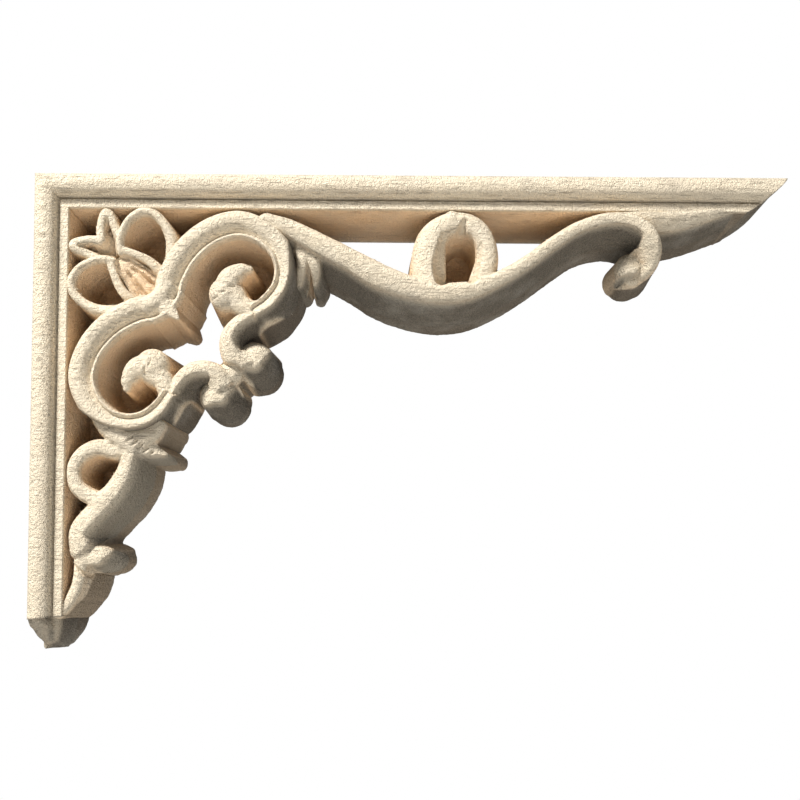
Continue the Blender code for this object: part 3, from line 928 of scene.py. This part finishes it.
@dataclass
class FrameMoulding:
    """The rail and the post: one moulding of round, quirk and fillet, swept along two arms."""

    round_width: float = 7.4
    round_drop: float = 3.6
    quirk_width: float = 0.5
    quirk_depth: float = 1.3
    fillet_height: float = 26.4
    round_steps: int = 26
    wall_rows: int = 16
    end_slant: float = 0.55
    end_curve: float = 0.055
    post_slant: float = 0.1
    step: float = 0.6
    fuzz: float = 0.12
    streaks: float = 0.05
    seed: float = 4.0

    def profile(self) -> list[tuple[float, float]]:
        """Go round the section once.

        Returns:
            Pairs of (distance from the outer edge, height).
        """
        middle = self.round_width / 2
        low = self.fillet_height - self.quirk_depth
        inner = self.round_width + self.quirk_width
        section = [(0.0, 0.0)]
        section += [(0.0, (DEPTH - self.round_drop) * row / 12) for row in range(1, 12)]
        for step in range(self.round_steps + 1):
            turn = math.pi * step / self.round_steps
            section.append((middle - middle * math.cos(turn), DEPTH - self.round_drop * (1 - math.sin(turn))))
        section += [(self.round_width + 0.08, low + 0.1), (self.round_width + 0.2, low), (inner - 0.1, low)]
        section += [(inner, low + 0.15), (inner + 0.08, self.fillet_height - 0.12)]
        for step in range(9):
            section.append((inner + 0.2 + (RAIL_WIDTH - inner - 0.45) * step / 8, self.fillet_height))
        section += [(RAIL_WIDTH - 0.1, self.fillet_height - 0.08), (RAIL_WIDTH, self.fillet_height - 0.3)]
        for row in range(1, self.wall_rows + 1):
            h = (self.fillet_height - 0.3) * (1 - row / self.wall_rows)
            section.append((RAIL_WIDTH + math.tan(WALL_TAPER) * (self.fillet_height - h), h))
        section += [(RAIL_WIDTH * step / 6, 0.0) for step in range(5, 0, -1)]
        return section

    def tree(self) -> bpy.types.NodeTree:
        """Make the nodes that sweep the section along an arm.

        Returns:
            The Geometry Nodes tree.
        """
        numbers = ("Length", "Slant", "Curve", "Fuzz", "Streaks", "Seed")
        graph = NodeGraph.for_shape("sweep_moulding", "Section", numbers, "Steps")
        given = graph.add("NodeGroupInput").outputs
        size = graph.add("GeometryNodeAttributeDomainSize", {0: given["Section"]}).outputs["Point Count"]
        around = graph.maths("ADD", size, 1.0)
        lines = graph.maths("ADD", given["Steps"], 1.0)
        grid = graph.add("GeometryNodeMeshGrid", {"Vertices X": lines, "Vertices Y": around})
        index = graph.add("GeometryNodeInputIndex").outputs[0]
        turn = graph.maths("MODULO", graph.maths("MODULO", index, around), size)
        line = graph.maths("FLOOR", graph.maths("DIVIDE", index, around))
        share = graph.maths("DIVIDE", line, given["Steps"])
        spot = graph.add("GeometryNodeInputPosition").outputs[0]
        taken = graph.add("GeometryNodeSampleIndex", data_type="FLOAT_VECTOR")
        for name, value in (("Geometry", given["Section"]), ("Value", spot), ("Index", turn)):
            graph.tree.links.new(value, taken.inputs[name])
        tube = self.placed(graph, given, grid.outputs["Mesh"], taken.outputs["Value"], share)
        near = self.placed(graph, given, given["Section"], spot, 0.0)
        far = self.placed(graph, given, given["Section"], spot, 1.0)
        joined = graph.add("GeometryNodeJoinGeometry")
        for part in (far, near, tube):
            graph.tree.links.new(part, joined.inputs[0])
        closed = graph.add("GeometryNodeMergeByDistance", {0: joined.outputs[0], "Distance": 0.0008})
        return graph.finish(self.roughened(graph, given, closed.outputs[0]), given["Wood"])

    def placed(self, graph: NodeGraph, given: object, part: Socket, section: Socket,
               share: object) -> Socket:
        """Place the points of a part along the arm, mitred at the corner and slanted at the far end.

        Args:
            graph: The tree's helper.
            given: The tree's inputs.
            part: The geometry whose points move.
            section: Where each point lies in the section, as (place, height, 0).
            share: How far along the arm it lies, from 0 to 1.

        Returns:
            The placed geometry, in millimetres along (travel, place, height).
        """
        split = graph.add("ShaderNodeSeparateXYZ", {0: section}).outputs
        drawn = graph.maths("ADD", graph.maths("MULTIPLY", given["Slant"], split["X"]),
                            graph.maths("MULTIPLY", given["Curve"], graph.maths("POWER", split["X"], 2.0)))
        end = graph.maths("SUBTRACT", given["Length"], drawn)
        start = graph.maths("SUBTRACT", split["X"], 0.12)
        travel = graph.maths("MULTIPLY_ADD", graph.maths("SUBTRACT", end, start), share, start)
        travel = graph.maths("MAXIMUM", travel, 0.0)
        spot = graph.add("ShaderNodeCombineXYZ", {0: travel, 1: split["X"], 2: split["Y"]}).outputs[0]
        return graph.add("GeometryNodeSetPosition", {0: part, "Position": spot}).outputs[0]

    def roughened(self, graph: NodeGraph, given: object, part: Socket) -> Socket:
        """Sink the surface by fuzz and by long streaks, never outwards.

        Args:
            graph: The tree's helper.
            given: The tree's inputs.
            part: The geometry.

        Returns:
            The roughened geometry.
        """
        spot = graph.add("GeometryNodeInputPosition").outputs[0]
        long_way = graph.add("ShaderNodeVectorMath", {0: spot, 1: (0.09, 1.4, 1.4)}, operation="MULTIPLY")
        sunk = 0.0
        layers = (("Streaks", long_way.outputs[0], 1.0, 2.0), ("Fuzz", spot, 0.9, 3.0))
        for name, place, scale, detail in layers:
            values = {"Vector": place, "Scale": scale, "Detail": detail, "W": given["Seed"]}
            lumps = graph.add("ShaderNodeTexNoise", values, noise_dimensions="4D").outputs["Fac"]
            sunk = graph.maths("MULTIPLY_ADD", lumps, given[name], sunk)
        normal = graph.add("GeometryNodeInputNormal").outputs[0]
        away = graph.add("ShaderNodeVectorMath", {0: normal, "Scale": graph.maths("MULTIPLY", sunk, -1.0)},
                         operation="SCALE").outputs[0]
        height = graph.add("ShaderNodeSeparateXYZ", {0: spot}).outputs["Z"]
        off_back = graph.add("FunctionNodeCompare", {0: height, 1: 0.01}, operation="GREATER_THAN")
        return graph.add("GeometryNodeSetPosition",
                         {0: part, "Offset": away, "Selection": off_back.outputs[0]}).outputs[0]

    def sweep(self, name: str, length: float, slant: float, curve: float, upright: bool,
              wood: bpy.types.Material) -> bpy.types.Object:
        """Sweep one arm and turn it into a plain mesh.

        Args:
            name: The piece's name.
            length: How far the arm reaches at its outer edge.
            slant: How fast its end draws back from the outer edge.
            curve: How much that speeds up.
            upright: True for the post.
            wood: Its material.

        Returns:
            The finished arm at its place.
        """
        section = bpy.data.meshes.new(name + "_section")
        corners = [(place, h, 0.0) for place, h in self.profile()]
        section.from_pydata(corners, [], [list(range(len(corners)))])
        values = {"Length": length, "Slant": slant, "Curve": curve, "Fuzz": self.fuzz,
                  "Streaks": self.streaks, "Seed": self.seed + float(upright),
                  "Steps": round(length / self.step), "Wood": wood}
        swept = NodeGraph.run(bpy.data.node_groups.get("sweep_moulding") or self.tree(), section, values)
        places = np.zeros(len(swept.vertices) * 3)
        swept.vertices.foreach_get("co", places)
        travel, place, h = places.reshape(-1, 3).T
        u, v = (place, travel) if upright else (travel, place)
        u, v = np.clip(u, 0.0, RAIL_LENGTH), np.clip(v, 0.0, FULL_HEIGHT)
        swept.vertices.foreach_set("co", to_world(u, v, np.clip(h, 0.0, DEPTH)).ravel())
        if not upright:
            swept.flip_normals()
        # The rail's inner wall takes the wall tint: fresh-cut colour with painted warm bounce light.
        walled = np.where((place > RAIL_WIDTH - 0.05) & (h > 0.01), 1.0, 0.0)
        keep_values(swept, "walled", walled)
        # Painted shade: near-black on each arm's slanted end face, and along the rail's inner wall from 24 mm
        # before its end.
        end = length - slant * place - curve * place**2
        painted_shade = np.where(travel > end - 0.3, 0.9, 0.0)
        if not upright:
            painted_shade = np.maximum(painted_shade, walled * np.clip((travel - length + 24.0) / 6.0, 0, 0.9))
        keep_values(swept, "painted_shade", painted_shade)
        swept.name = name
        return finish_mesh(name, swept)

    def build(self, wood: bpy.types.Material) -> list[bpy.types.Object]:
        """Make both arms."""
        return [self.sweep("rail_moulding", RAIL_LENGTH, self.end_slant, self.end_curve, False, wood),
                self.sweep("post_moulding", POST_LENGTH, self.post_slant, 0.0, True, wood)]


@dataclass
class Scrollwork:
    """A carved sub-assembly cut as one relief."""

    name: str = "scrollwork"
    low: Point = (0.0, 0.0)
    high: Point = (10.0, 10.0)
    pitch: float = 0.36
    seed: int = 1
    blend: float = 0.5
    marks: ToolMarks = ToolMarks()
    tone: Tone = Tone()

    def forms(self) -> list[object]:
        """The bars, knobs and gouges, in the order they are cut."""
        return []

    def cut(self, yard: Yard) -> Relief:
        """Lay out the relief and mark where it stands.

        Args:
            yard: What stands where.

        Returns:
            The relief.
        """
        relief = Relief(self)
        relief.build(self.forms())
        yard.add(relief)
        return relief

    def build(self, relief: Relief, yard: Yard, wood: bpy.types.Material) -> bpy.types.Object:
        """Turn the relief into a closed piece and dress it.

        Args:
            relief: The relief.
            yard: What stands where.
            wood: Its material.

        Returns:
            The new object.
        """
        made = relief.make_object(self.name, yard)
        made.data.materials.append(wood)
        return made

    @staticmethod
    def both(forms: list[object]) -> list[object]:
        """The forms and their mirror images across the corner's diagonal."""
        return forms + [form.mirrored() for form in forms]


@dataclass
class Heart(Scrollwork):
    """The heart's two lobes, each with a curl inside and a tube that ends in a ball."""

    name: str = "heart"
    low: Point = (8.0, 8.0)
    high: Point = (90.0, 90.0)
    seed: int = 11
    crest: float = 29.8
    curl_crest: float = 29.0
    tube_crest: float = 27.5

    def forms(self) -> list[object]:
        """Lay out the upper half and mirror it.

        Returns:
            The forms in the order they are cut.
        """
        lobe = Bar((
            (36.4, 44.6, 4.8), (42.4, 40.0, 5.0), (44.4, 33.2, 5.0), (48.9, 25.2, 5.0), (56.2, 18.9, 4.9),
            (65.0, 16.2, 4.8), (73.0, 18.6, 4.3), (78.6, 24.0, 3.8), (80.6, 30.4, 3.6), (79.6, 36.6, 3.6),
            (76.0, 41.6, 3.6), (71.6, 44.8, 3.3),
        ), self.crest, CrossProfile.HEART_BAND, round_ends=False, flank=8.0, flank_side=-1.0)
        cusp = Bar(((41.4, 41.4, 3.0, 0.8), (43.0, 43.0, 3.2, 0.7), (45.0, 45.0, 1.8, 0.8),
                    (46.6, 46.6, 0.6, 1.0)), self.crest, CrossProfile.LOW_BAR)
        knot = Knob((62.6, 62.6), 4.1, 24.0)
        cracks = [Gouge(((57.2 + 2.6 * n, 40.4 - 1.9 * n, 0.5, 0.5),
                         (59.2 + 2.6 * n, 39.6 - 1.6 * n, 0.5, 0.6))) for n in range(3)]
        curl = Bar(((74.4, 42.0, 2.2, 1.8), (71.6, 43.2, 2.7, 1.5), (66.6, 41.8, 3.4, 1.0),
                    (63.4, 38.6, 4.6, 0.5)), self.curl_crest)
        curl_lip = Bar(((61.4, 37.6, 4.6), (62.8, 33.2, 3.9, 0.3), (66.2, 30.7, 2.6, 1.2),
                        (68.8, 30.2, 1.2, 2.4)), self.curl_crest)
        bulb = Knob((61.4, 38.0), 5.6, self.curl_crest)
        tube = Bar(((75.0, 42.0, 2.4, 1.5), (71.6, 44.6, 3.3), (66.0, 48.2, 3.6), (63.4, 52.2, 4.0),
                    (63.8, 57.4, 4.0, 0.8), (67.6, 60.2, 4.2, 2.0)), self.tube_crest, flank=4.4)
        ball = Knob((70.0, 59.0), 6.7, self.tube_crest - 3.0, flank=8.0)
        return [cusp, knot, *self.both([lobe, curl, curl_lip, bulb, tube, ball, *cracks])]


@dataclass
class Palmette(Scrollwork):
    """The four-lobed shell between the corner and the heart."""

    name: str = "palmette"
    low: Point = (5.0, 5.0)
    high: Point = (52.0, 52.0)
    pitch: float = 0.3
    seed: int = 21
    crest: float = 27.0
    tone: Tone = Tone(seat=0.1)

    def forms(self) -> list[object]:
        """Lay out the right half and mirror it.

        Returns:
            The forms in the order they are cut.
        """
        petal = Bar((
            (27.4, 24.6, 1.3, 1.5), (27.1, 20.6, 1.3, 0.5), (29.4, 15.4, 1.3), (33.6, 12.0, 1.5),
            (37.9, 12.4, 1.4), (41.4, 15.9, 1.5), (43.8, 21.0, 2.1), (43.8, 27.0, 2.4, 0.4),
        ), self.crest, CrossProfile.RIM)
        foot = Bar(((27.2, 23.6, 1.2, 1.5), (31.4, 25.0, 1.2, 1.6), (36.0, 27.0, 1.4, 2.4),
                    (40.2, 30.6, 1.8, 3.6)), self.crest, CrossProfile.LOW_BAR)
        fan = Bar(((28.4, 28.4, 3.2, 3.4), (33.0, 33.0, 4.8, 4.2), (38.0, 38.0, 5.6, 6.0)), self.crest,
                  CrossProfile.LOW_BAR, chatter=0.3, bare=0.9)
        pleat = Gouge(((30.6, 29.2, 0.7, 1.0), (34.8, 32.2, 0.9, 1.8), (39.0, 35.6, 0.9, 1.6)))
        spoon = Gouge(((23.0, 14.6, 0.9, 1.2), (23.2, 18.0, 1.1, 1.6)))
        tip = Bar(((26.6, 19.4, 1.3, 1.2), (25.2, 16.4, 1.5, 0.8), (22.8, 12.6, 2.0),
                   (21.0, 16.4, 1.5, 0.6), (21.0, 20.6, 1.5, 1.0)), self.crest)
        web = Bar(((24.6, 19.4, 2.6, 5.0), (22.6, 22.4, 3.4, 6.0)), self.crest, CrossProfile.LOW_BAR,
                  chatter=0.35, bare=0.9)
        return [fan, *self.both([petal, foot, tip, web, pleat, spoon])]


@dataclass
class Wave(Scrollwork):
    """The long swag under the rail, with its arch, its small leaf and its hooked end."""

    name: str = "wave"
    low: Point = (68.0, 6.0)
    high: Point = (204.0, 50.0)
    seed: int = 31
    crest: float = 29.0
    tone: Tone = Tone(seat=0.15)

    def forms(self) -> list[object]:
        """Lay out the swag, the arch with its bump and nick, the leaf and the hook.

        Returns:
            The forms in the order they are cut.
        """
        swag = Bar((
            (74.4, 15.8, 3.4), (81.4, 18.4, 4.2), (91.1, 23.4, 4.8), (101.2, 28.5, 5.0),
            (110.7, 33.7, 5.6), (120.2, 37.2, 5.4), (129.8, 38.9, 5.1), (139.2, 38.0, 4.6),
            (149.3, 34.0, 3.8), (158.2, 28.6, 3.4), (166.8, 22.2, 3.4), (174.1, 17.6, 3.2),
            (182.0, 15.0, 3.3), (189.0, 14.8, 3.3), (194.6, 17.2, 3.1), (197.4, 21.6, 3.2, 1.4),
            (196.8, 26.0, 3.5, 6.0), (193.6, 28.2, 3.5, 13.0),
        ), self.crest, CrossProfile.SWAG_BAR, flank=11.0, flank_side=1.0)
        arch = Bar((
            (126.3, 33.5, 5.6), (126.1, 26.0, 5.6), (127.1, 19.8, 4.9), (130.2, 16.2, 4.2),
            (134.4, 14.6, 3.8), (139.6, 15.2, 3.4), (143.4, 18.8, 3.2), (144.9, 25.0, 3.5),
            (143.6, 32.0, 4.2),
        ), 27.5)
        bump = Knob((133.4, 13.4), 2.4, 27.9)
        nick = Gouge(((137.6, 14.6, 1.3, 1.2), (136.8, 17.0, 1.8, 2.6), (136.0, 19.6, 1.9, 3.4)))
        slope = Gouge(((130.6, 19.0, 1.2, 0.8), (130.2, 24.0, 2.4, 2.0), (129.6, 29.0, 2.8, 3.4),
                       (130.4, 33.4, 2.6, 3.6)))
        foot = Gouge(((142.6, 22.0, 1.0, 0.8), (141.0, 28.0, 2.0, 2.4), (139.8, 33.0, 2.2, 3.0)))
        left_lobe = Bar(((85.4, 22.0, 2.8), (85.8, 26.4, 2.4, 0.5), (85.4, 30.4, 2.1, 2.0),
                         (84.6, 33.4, 1.4, 5.0)), 25.0, flank=1.6)
        right_lobe = Bar(((87.6, 23.4, 2.6), (89.6, 27.4, 2.4, 0.5), (90.2, 30.6, 2.1, 2.6),
                          (89.8, 33.4, 1.4, 6.0)), 25.0, flank=2.4)
        hook = Knob((192.8, 26.4), 5.3, 20.0, flank=6.0)
        return [swag, arch, bump, left_lobe, right_lobe, hook, nick, slope, foot]


@dataclass
class Wedge(Scrollwork):
    """The long keel that carries the rail's slanted end."""

    name: str = "wedge"
    low: Point = (180.0, 4.0)
    high: Point = (232.0, 24.0)
    seed: int = 41
    crest: float = 26.8
    tone: Tone = Tone(seat=0.2)

    def forms(self) -> list[object]:
        """Lay out the keel.

        Returns:
            The forms in the order they are cut.
        """
        keel = Bar(((186.0, 13.4, 3.4, 1.0), (194.0, 14.4, 4.2), (203.0, 14.2, 4.0), (211.0, 13.2, 3.2),
                    (219.0, 11.4, 2.2, 0.3), (226.0, 9.6, 1.4, 1.0)), self.crest, CrossProfile.KEEL,
                   flank=4.0, flank_side=1.0)
        return [keel]


@dataclass
class Tail(Scrollwork):
    """The lower scroll: a leaf under the heart, an eye against the post, a stem, a knob and the heel."""

    name: str = "tail"
    low: Point = (6.0, 70.0)
    high: Point = (48.0, 146.0)
    seed: int = 51
    crest: float = 27.0
    blend: float = 2.4
    # A lighter painted shade on the tail's flanks.
    tone: Tone = Tone(seat=0.1, painted_shade_gain=0.72)

    def forms(self) -> list[object]:
        """Lay out the shoulder, leaf, stem, eye, knob and heel.

        Returns:
            The forms in the order they are cut.
        """
        shoulder = Bar(((21.0, 76.0, 3.4), (25.0, 81.4, 3.9), (31.6, 84.4, 4.0), (37.4, 83.4, 3.4),
                        (40.6, 80.6, 2.4)), self.crest)
        leaf = Bar(((27.0, 84.0, 3.8, 0.5), (33.0, 86.6, 4.4, 1.0), (38.4, 89.0, 3.0, 2.0),
                    (42.2, 90.2, 1.4, 3.0)), self.crest, CrossProfile.LOW_BAR, flank=2.6)
        stem = Bar(((26.6, 82.6, 3.6), (31.2, 88.0, 4.0, 0.5), (31.2, 94.8, 4.7, 0.5), (27.4, 102.2, 5.2),
                    (21.6, 108.8, 5.2), (16.8, 114.6, 5.2), (16.6, 120.0, 5.0, 0.3)), self.crest, flank=5.2)
        eye = Bar(((25.0, 102.6, 2.4, 0.5), (20.6, 104.0, 2.6, 0.5), (14.8, 100.6, 2.5, 0.5),
                   (13.3, 95.0, 2.3, 0.5), (15.6, 90.2, 2.5, 0.5), (20.6, 87.6, 2.7, 0.5),
                   (26.4, 88.6, 2.8, 0.8)), self.crest)
        knob = Knob((20.2, 123.0), 5.6, self.crest - 1.4, (1.2, 0.82), flank=5.4)
        crease = Gouge(((14.0, 125.4, 0.7, 0.8), (18.4, 128.6, 0.9, 2.4), (24.4, 128.4, 0.9, 2.4)))
        heel_rib = Bar(((15.6, 119.0, 2.6), (15.8, 126.0, 2.2), (14.8, 132.0, 2.0), (12.0, 137.4, 2.0),
                        (9.0, 140.4, 2.0)), 25.5)
        heel = Bar(((17.2, 124.0, 2.2, 3.0), (16.0, 129.6, 2.4, 3.0), (13.8, 134.0, 2.8, 3.0),
                    (9.6, 138.4, 2.6, 3.0)), 25.5, CrossProfile.LOW_BAR, flank=3.0)
        steps = [Gouge(((30.6 + 1.5 * n, 86.0 + 1.1 * n, 0.6, 0.3),
                        (32.4 + 1.5 * n, 84.4 + 1.1 * n, 0.6, 0.9))) for n in range(5)]
        return [shoulder, leaf, stem, eye, knob, heel_rib, heel, crease, *steps]


@dataclass
class Nose(Scrollwork):
    """The post's rounded lower end."""

    name: str = "nose"
    low: Point = (-6.0, 130.0)
    high: Point = (14.0, 156.0)
    pitch: float = 0.34
    seed: int = 61
    # The nose slopes down, away from the key light, so all of it gets painted shade.
    tone: Tone = Tone(seat=0.15, least=0.5)

    def forms(self) -> list[object]:
        """Lay out two bars that fall away towards the back.

        Returns:
            The forms in the order they are cut.
        """
        spine = Bar(((3.8, 138.6, 3.6, 0.5), (3.9, 142.4, 3.8, 0.8), (4.1, 145.6, 4.0, 4.0),
                     (3.4, 149.2, 3.2, 9.5), (2.4, 151.6, 2.2, 16.0)), DEPTH, flank=4.6)
        side = Bar(((8.6, 139.6, 2.0, 5.4), (8.0, 143.0, 2.6, 6.6), (6.6, 146.4, 2.6, 9.6),
                    (4.6, 149.6, 2.4, 14.0)), DEPTH, CrossProfile.LOW_BAR, flank=2.4)
        return [spine, side]


@dataclass
class RecessFloors:
    """The thin floors of the blind recesses: the shell, the curls, the eye, the arch and beside the post."""

    thickness: float = 4.9
    seat: float = 0.3
    shell: tuple[Point, ...] = ((6.0, 6.0), (51.0, 6.0), (51.0, 22.0), (41.0, 37.0), (37.0, 41.0),
                                (22.0, 51.0), (6.0, 51.0))
    curl: tuple[Point, ...] = ((60.0, 19.0), (79.0, 19.0), (82.0, 26.0), (82.0, 34.0), (77.5, 42.0),
                               (66.0, 46.0))
    post: tuple[Point, ...] = ((7.0, 70.0), (22.0, 70.0), (22.0, 86.0), (30.0, 86.0), (30.0, 104.5),
                               (18.0, 113.0), (7.0, 113.0))
    arch: tuple[Point, ...] = ((128.0, 17.5), (143.0, 17.5), (143.0, 36.0), (128.0, 36.0))

    def build(self, wood: bpy.types.Material) -> bpy.types.Object:
        """Make every floor as one piece of closed prisms.

        Args:
            wood: Its material.

        Returns:
            The new object.
        """
        points, faces = [], []
        for outline in (self.shell, self.curl, self.post, self.arch, swapped(self.curl)):
            first, count = len(points), len(outline)
            points += [(u, v, self.seat) for u, v in outline]
            points += [(u, v, self.thickness) for u, v in outline]
            faces.append([first + n for n in range(count)])
            faces.append([first + count + n for n in reversed(range(count))])
            for n in range(count):
                after = (n + 1) % count
                faces.append([first + after, first + n, first + count + n, first + count + after])
        mesh = bpy.data.meshes.new("recess_floors")
        mesh.from_pydata(to_world(*np.array(points).T), [], faces)
        edit = bmesh.new()
        edit.from_mesh(mesh)
        bmesh.ops.recalc_face_normals(edit, faces=edit.faces)
        edit.to_mesh(mesh)
        edit.free()
        # The floors take the full wall tint: fresh-cut colour with painted warm bounce light.
        keep_values(mesh, "walled", np.ones(len(points)))
        made = finish_mesh("recess_floors", mesh)
        mesh.materials.append(wood)
        return made


@dataclass
class TornFibres:
    """Short fibres that the cutter leaves standing along the rims, set out with Geometry Nodes."""

    length: float = 1.1
    thickness: float = 0.1
    share: float = 0.16
    smallest: float = 0.4
    least_turn: Point = (0.5, -1.2, 0.0)
    most_turn: Point = (2.2, 1.2, 6.28)
    lowest: float = 14.0
    highest: float = 27.6
    seed: int = 7

    def tree(self) -> bpy.types.NodeTree:
        """Make the nodes that put a thin three-sided fibre on a chosen share of the points.

        Returns:
            The Geometry Nodes tree.
        """
        graph = NodeGraph.for_shape("torn_fibres", "Rims", ("Length", "Thickness", "Share"), "Seed")
        given = graph.add("NodeGroupInput").outputs
        fibre = graph.add("GeometryNodeMeshCone", {"Vertices": 3, "Radius Bottom": given["Thickness"],
                                                   "Depth": given["Length"]}).outputs["Mesh"]
        draws = {"Selection": ("BOOLEAN", 3, {"Probability": given["Share"]}),
                 "Scale": ("FLOAT", 1, {2: self.smallest, 3: 1.0}),
                 "Rotation": ("FLOAT_VECTOR", 0, {0: self.least_turn, 1: self.most_turn})}
        sown = {"Points": given["Rims"], "Instance": fibre}
        for name, (kind, output, limits) in draws.items():
            limits["Seed"] = given["Seed"]
            sown[name] = graph.add("FunctionNodeRandomValue", limits, data_type=kind).outputs[output]
        spread = graph.add("GeometryNodeInstanceOnPoints", sown)
        return graph.finish(spread.outputs[0], given["Wood"])

    def build(self, rims: Array, wood: bpy.types.Material) -> bpy.types.Object:
        """Make every fibre as one plain mesh.

        Args:
            rims: Rows of (u, v, h) along the outlines of the carving.
            wood: Its material.

        Returns:
            The new object.
        """
        clear = (rims[:, 2] > self.lowest) & (rims[:, 2] < self.highest)
        clear &= (rims[:, 0] > 3.0) & (rims[:, 1] > 3.0) & (rims[:, 0] < RAIL_LENGTH - 4.0)
        points = bpy.data.meshes.new("fibre_roots")
        points.from_pydata(to_world(*rims[clear].T), [], [])
        values = {"Length": self.length * MM, "Thickness": self.thickness * MM, "Share": self.share,
                  "Seed": self.seed, "Wood": wood}
        return finish_mesh("torn_fibres", NodeGraph.run(self.tree(), points, values))


@dataclass(frozen=True)
class Studio:
    """The camera of the photograph, a pale floor and soft light."""

    place: Point = (0.1137, -0.336, -0.1227)
    turn: Point = (91.47, -0.5, 0.24)
    lens: float = 44.04
    shift: Point = (0.0, 0.19)
    floor_level: float = -0.85
    floor_reach: float = 1.6
    sky_colour: Point = (0.90, 0.94, 1.0, 1.0)
    sky_strength: float = 0.17
    middle: Point = (0.1, 0.0, -0.05)
    lights: tuple[tuple, ...] = (("key", (-0.50, -0.66, 0.79), 0.2, 28.0, (1.0, 0.965, 0.91)),
                                 ("fill", (0.45, -0.85, -0.75), 0.7, 7.0, (1.0, 0.93, 0.84)))

    def camera(self) -> None:
        """Set up the scene's camera."""
        data = bpy.data.cameras.new("camera")
        data.lens = self.lens
        data.shift_x, data.shift_y = self.shift
        data.clip_start = 0.01
        camera = bpy.data.objects.new("camera", data)
        camera.location = self.place
        camera.rotation_euler = Euler([math.radians(angle) for angle in self.turn])
        bpy.context.scene.collection.objects.link(camera)
        bpy.context.scene.camera = camera

    def light(self, name: str, place: Point, size: float, watts: float, colour: Point) -> None:
        """Hang one square soft light that points at the object's middle.

        Args:
            name: Its name.
            place: Where it hangs.
            size: Its width in metres.
            watts: Its power.
            colour: Its colour.
        """
        data = bpy.data.lights.new(name, "AREA")
        data.size = size
        data.energy = watts
        data.color = colour
        lamp = bpy.data.objects.new(name, data)
        lamp.location = place
        lamp.rotation_euler = (Vector(self.middle) - Vector(place)).to_track_quat("-Z", "Y").to_euler()
        bpy.context.scene.collection.objects.link(lamp)

    def backdrop(self) -> None:
        """Show plain white behind the object, and light it with a weaker pale sky."""
        world = bpy.data.worlds.new("studio")
        world.use_nodes = True
        world.node_tree.nodes.clear()
        graph = NodeGraph(world.node_tree)
        seen = graph.add("ShaderNodeLightPath").outputs["Is Camera Ray"]
        dim = graph.add("ShaderNodeBackground", {"Color": self.sky_colour, "Strength": self.sky_strength})
        white = graph.add("ShaderNodeBackground", {"Color": (1.0, 1.0, 1.0, 1.0), "Strength": 1.0})
        mixed = graph.add("ShaderNodeMixShader", {0: seen, 1: dim.outputs[0], 2: white.outputs[0]})
        graph.add("ShaderNodeOutputWorld", {"Surface": mixed.outputs[0]})
        bpy.context.scene.world = world

    def floor(self) -> None:
        """Lay the plain pale floor."""
        mesh = bpy.data.meshes.new("floor")
        x, z = self.floor_reach, self.floor_level
        mesh.from_pydata([(-x, -x, z), (x, -x, z), (x, x, z), (-x, x, z)], [], [(0, 1, 2, 3)])
        floor = bpy.data.objects.new("floor", mesh)
        bpy.context.scene.collection.objects.link(floor)
        paint = bpy.data.materials.new("floor_paint")
        paint.use_nodes = True
        shader = paint.node_tree.nodes["Principled BSDF"]
        shader.inputs["Base Color"].default_value = (0.82, 0.82, 0.81, 1.0)
        shader.inputs["Roughness"].default_value = 0.9
        mesh.materials.append(paint)

    def build(self) -> None:
        """Set up everything that isn't the object."""
        self.camera()
        self.backdrop()
        self.floor()
        for light in self.lights:
            self.light(*light)
        bpy.context.scene.view_settings.view_transform = "Standard"


def ride(piece: bpy.types.Object) -> None:
    """Tie a finished piece to the solid that it stands for.

    Args:
        piece: The piece.
    """
    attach(piece, BODY)
    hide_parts(NODE)
    piece.data.calc_loop_triangles()
    log.info("%s: %d triangles", piece.name, len(piece.data.loop_triangles))


def main() -> None:
    """Build the onlay piece by piece, then the studio round it."""
    logging.basicConfig(level=logging.INFO, format="%(name)s: %(message)s")
    wood = RawWood().material()
    for arm in FrameMoulding().build(wood):
        ride(arm)
    yard = Yard()
    parts = (Heart(), Palmette(), Wave(), Wedge(), Tail(), Nose())
    reliefs = [part.cut(yard) for part in parts]
    for part, relief in zip(parts, reliefs):
        ride(part.build(relief, yard, wood))
    ride(RecessFloors().build(wood))
    ride(TornFibres().build(np.concatenate([relief.rims for relief in reliefs]), wood))
    Studio().build()


if __name__ == "__main__":
    main()
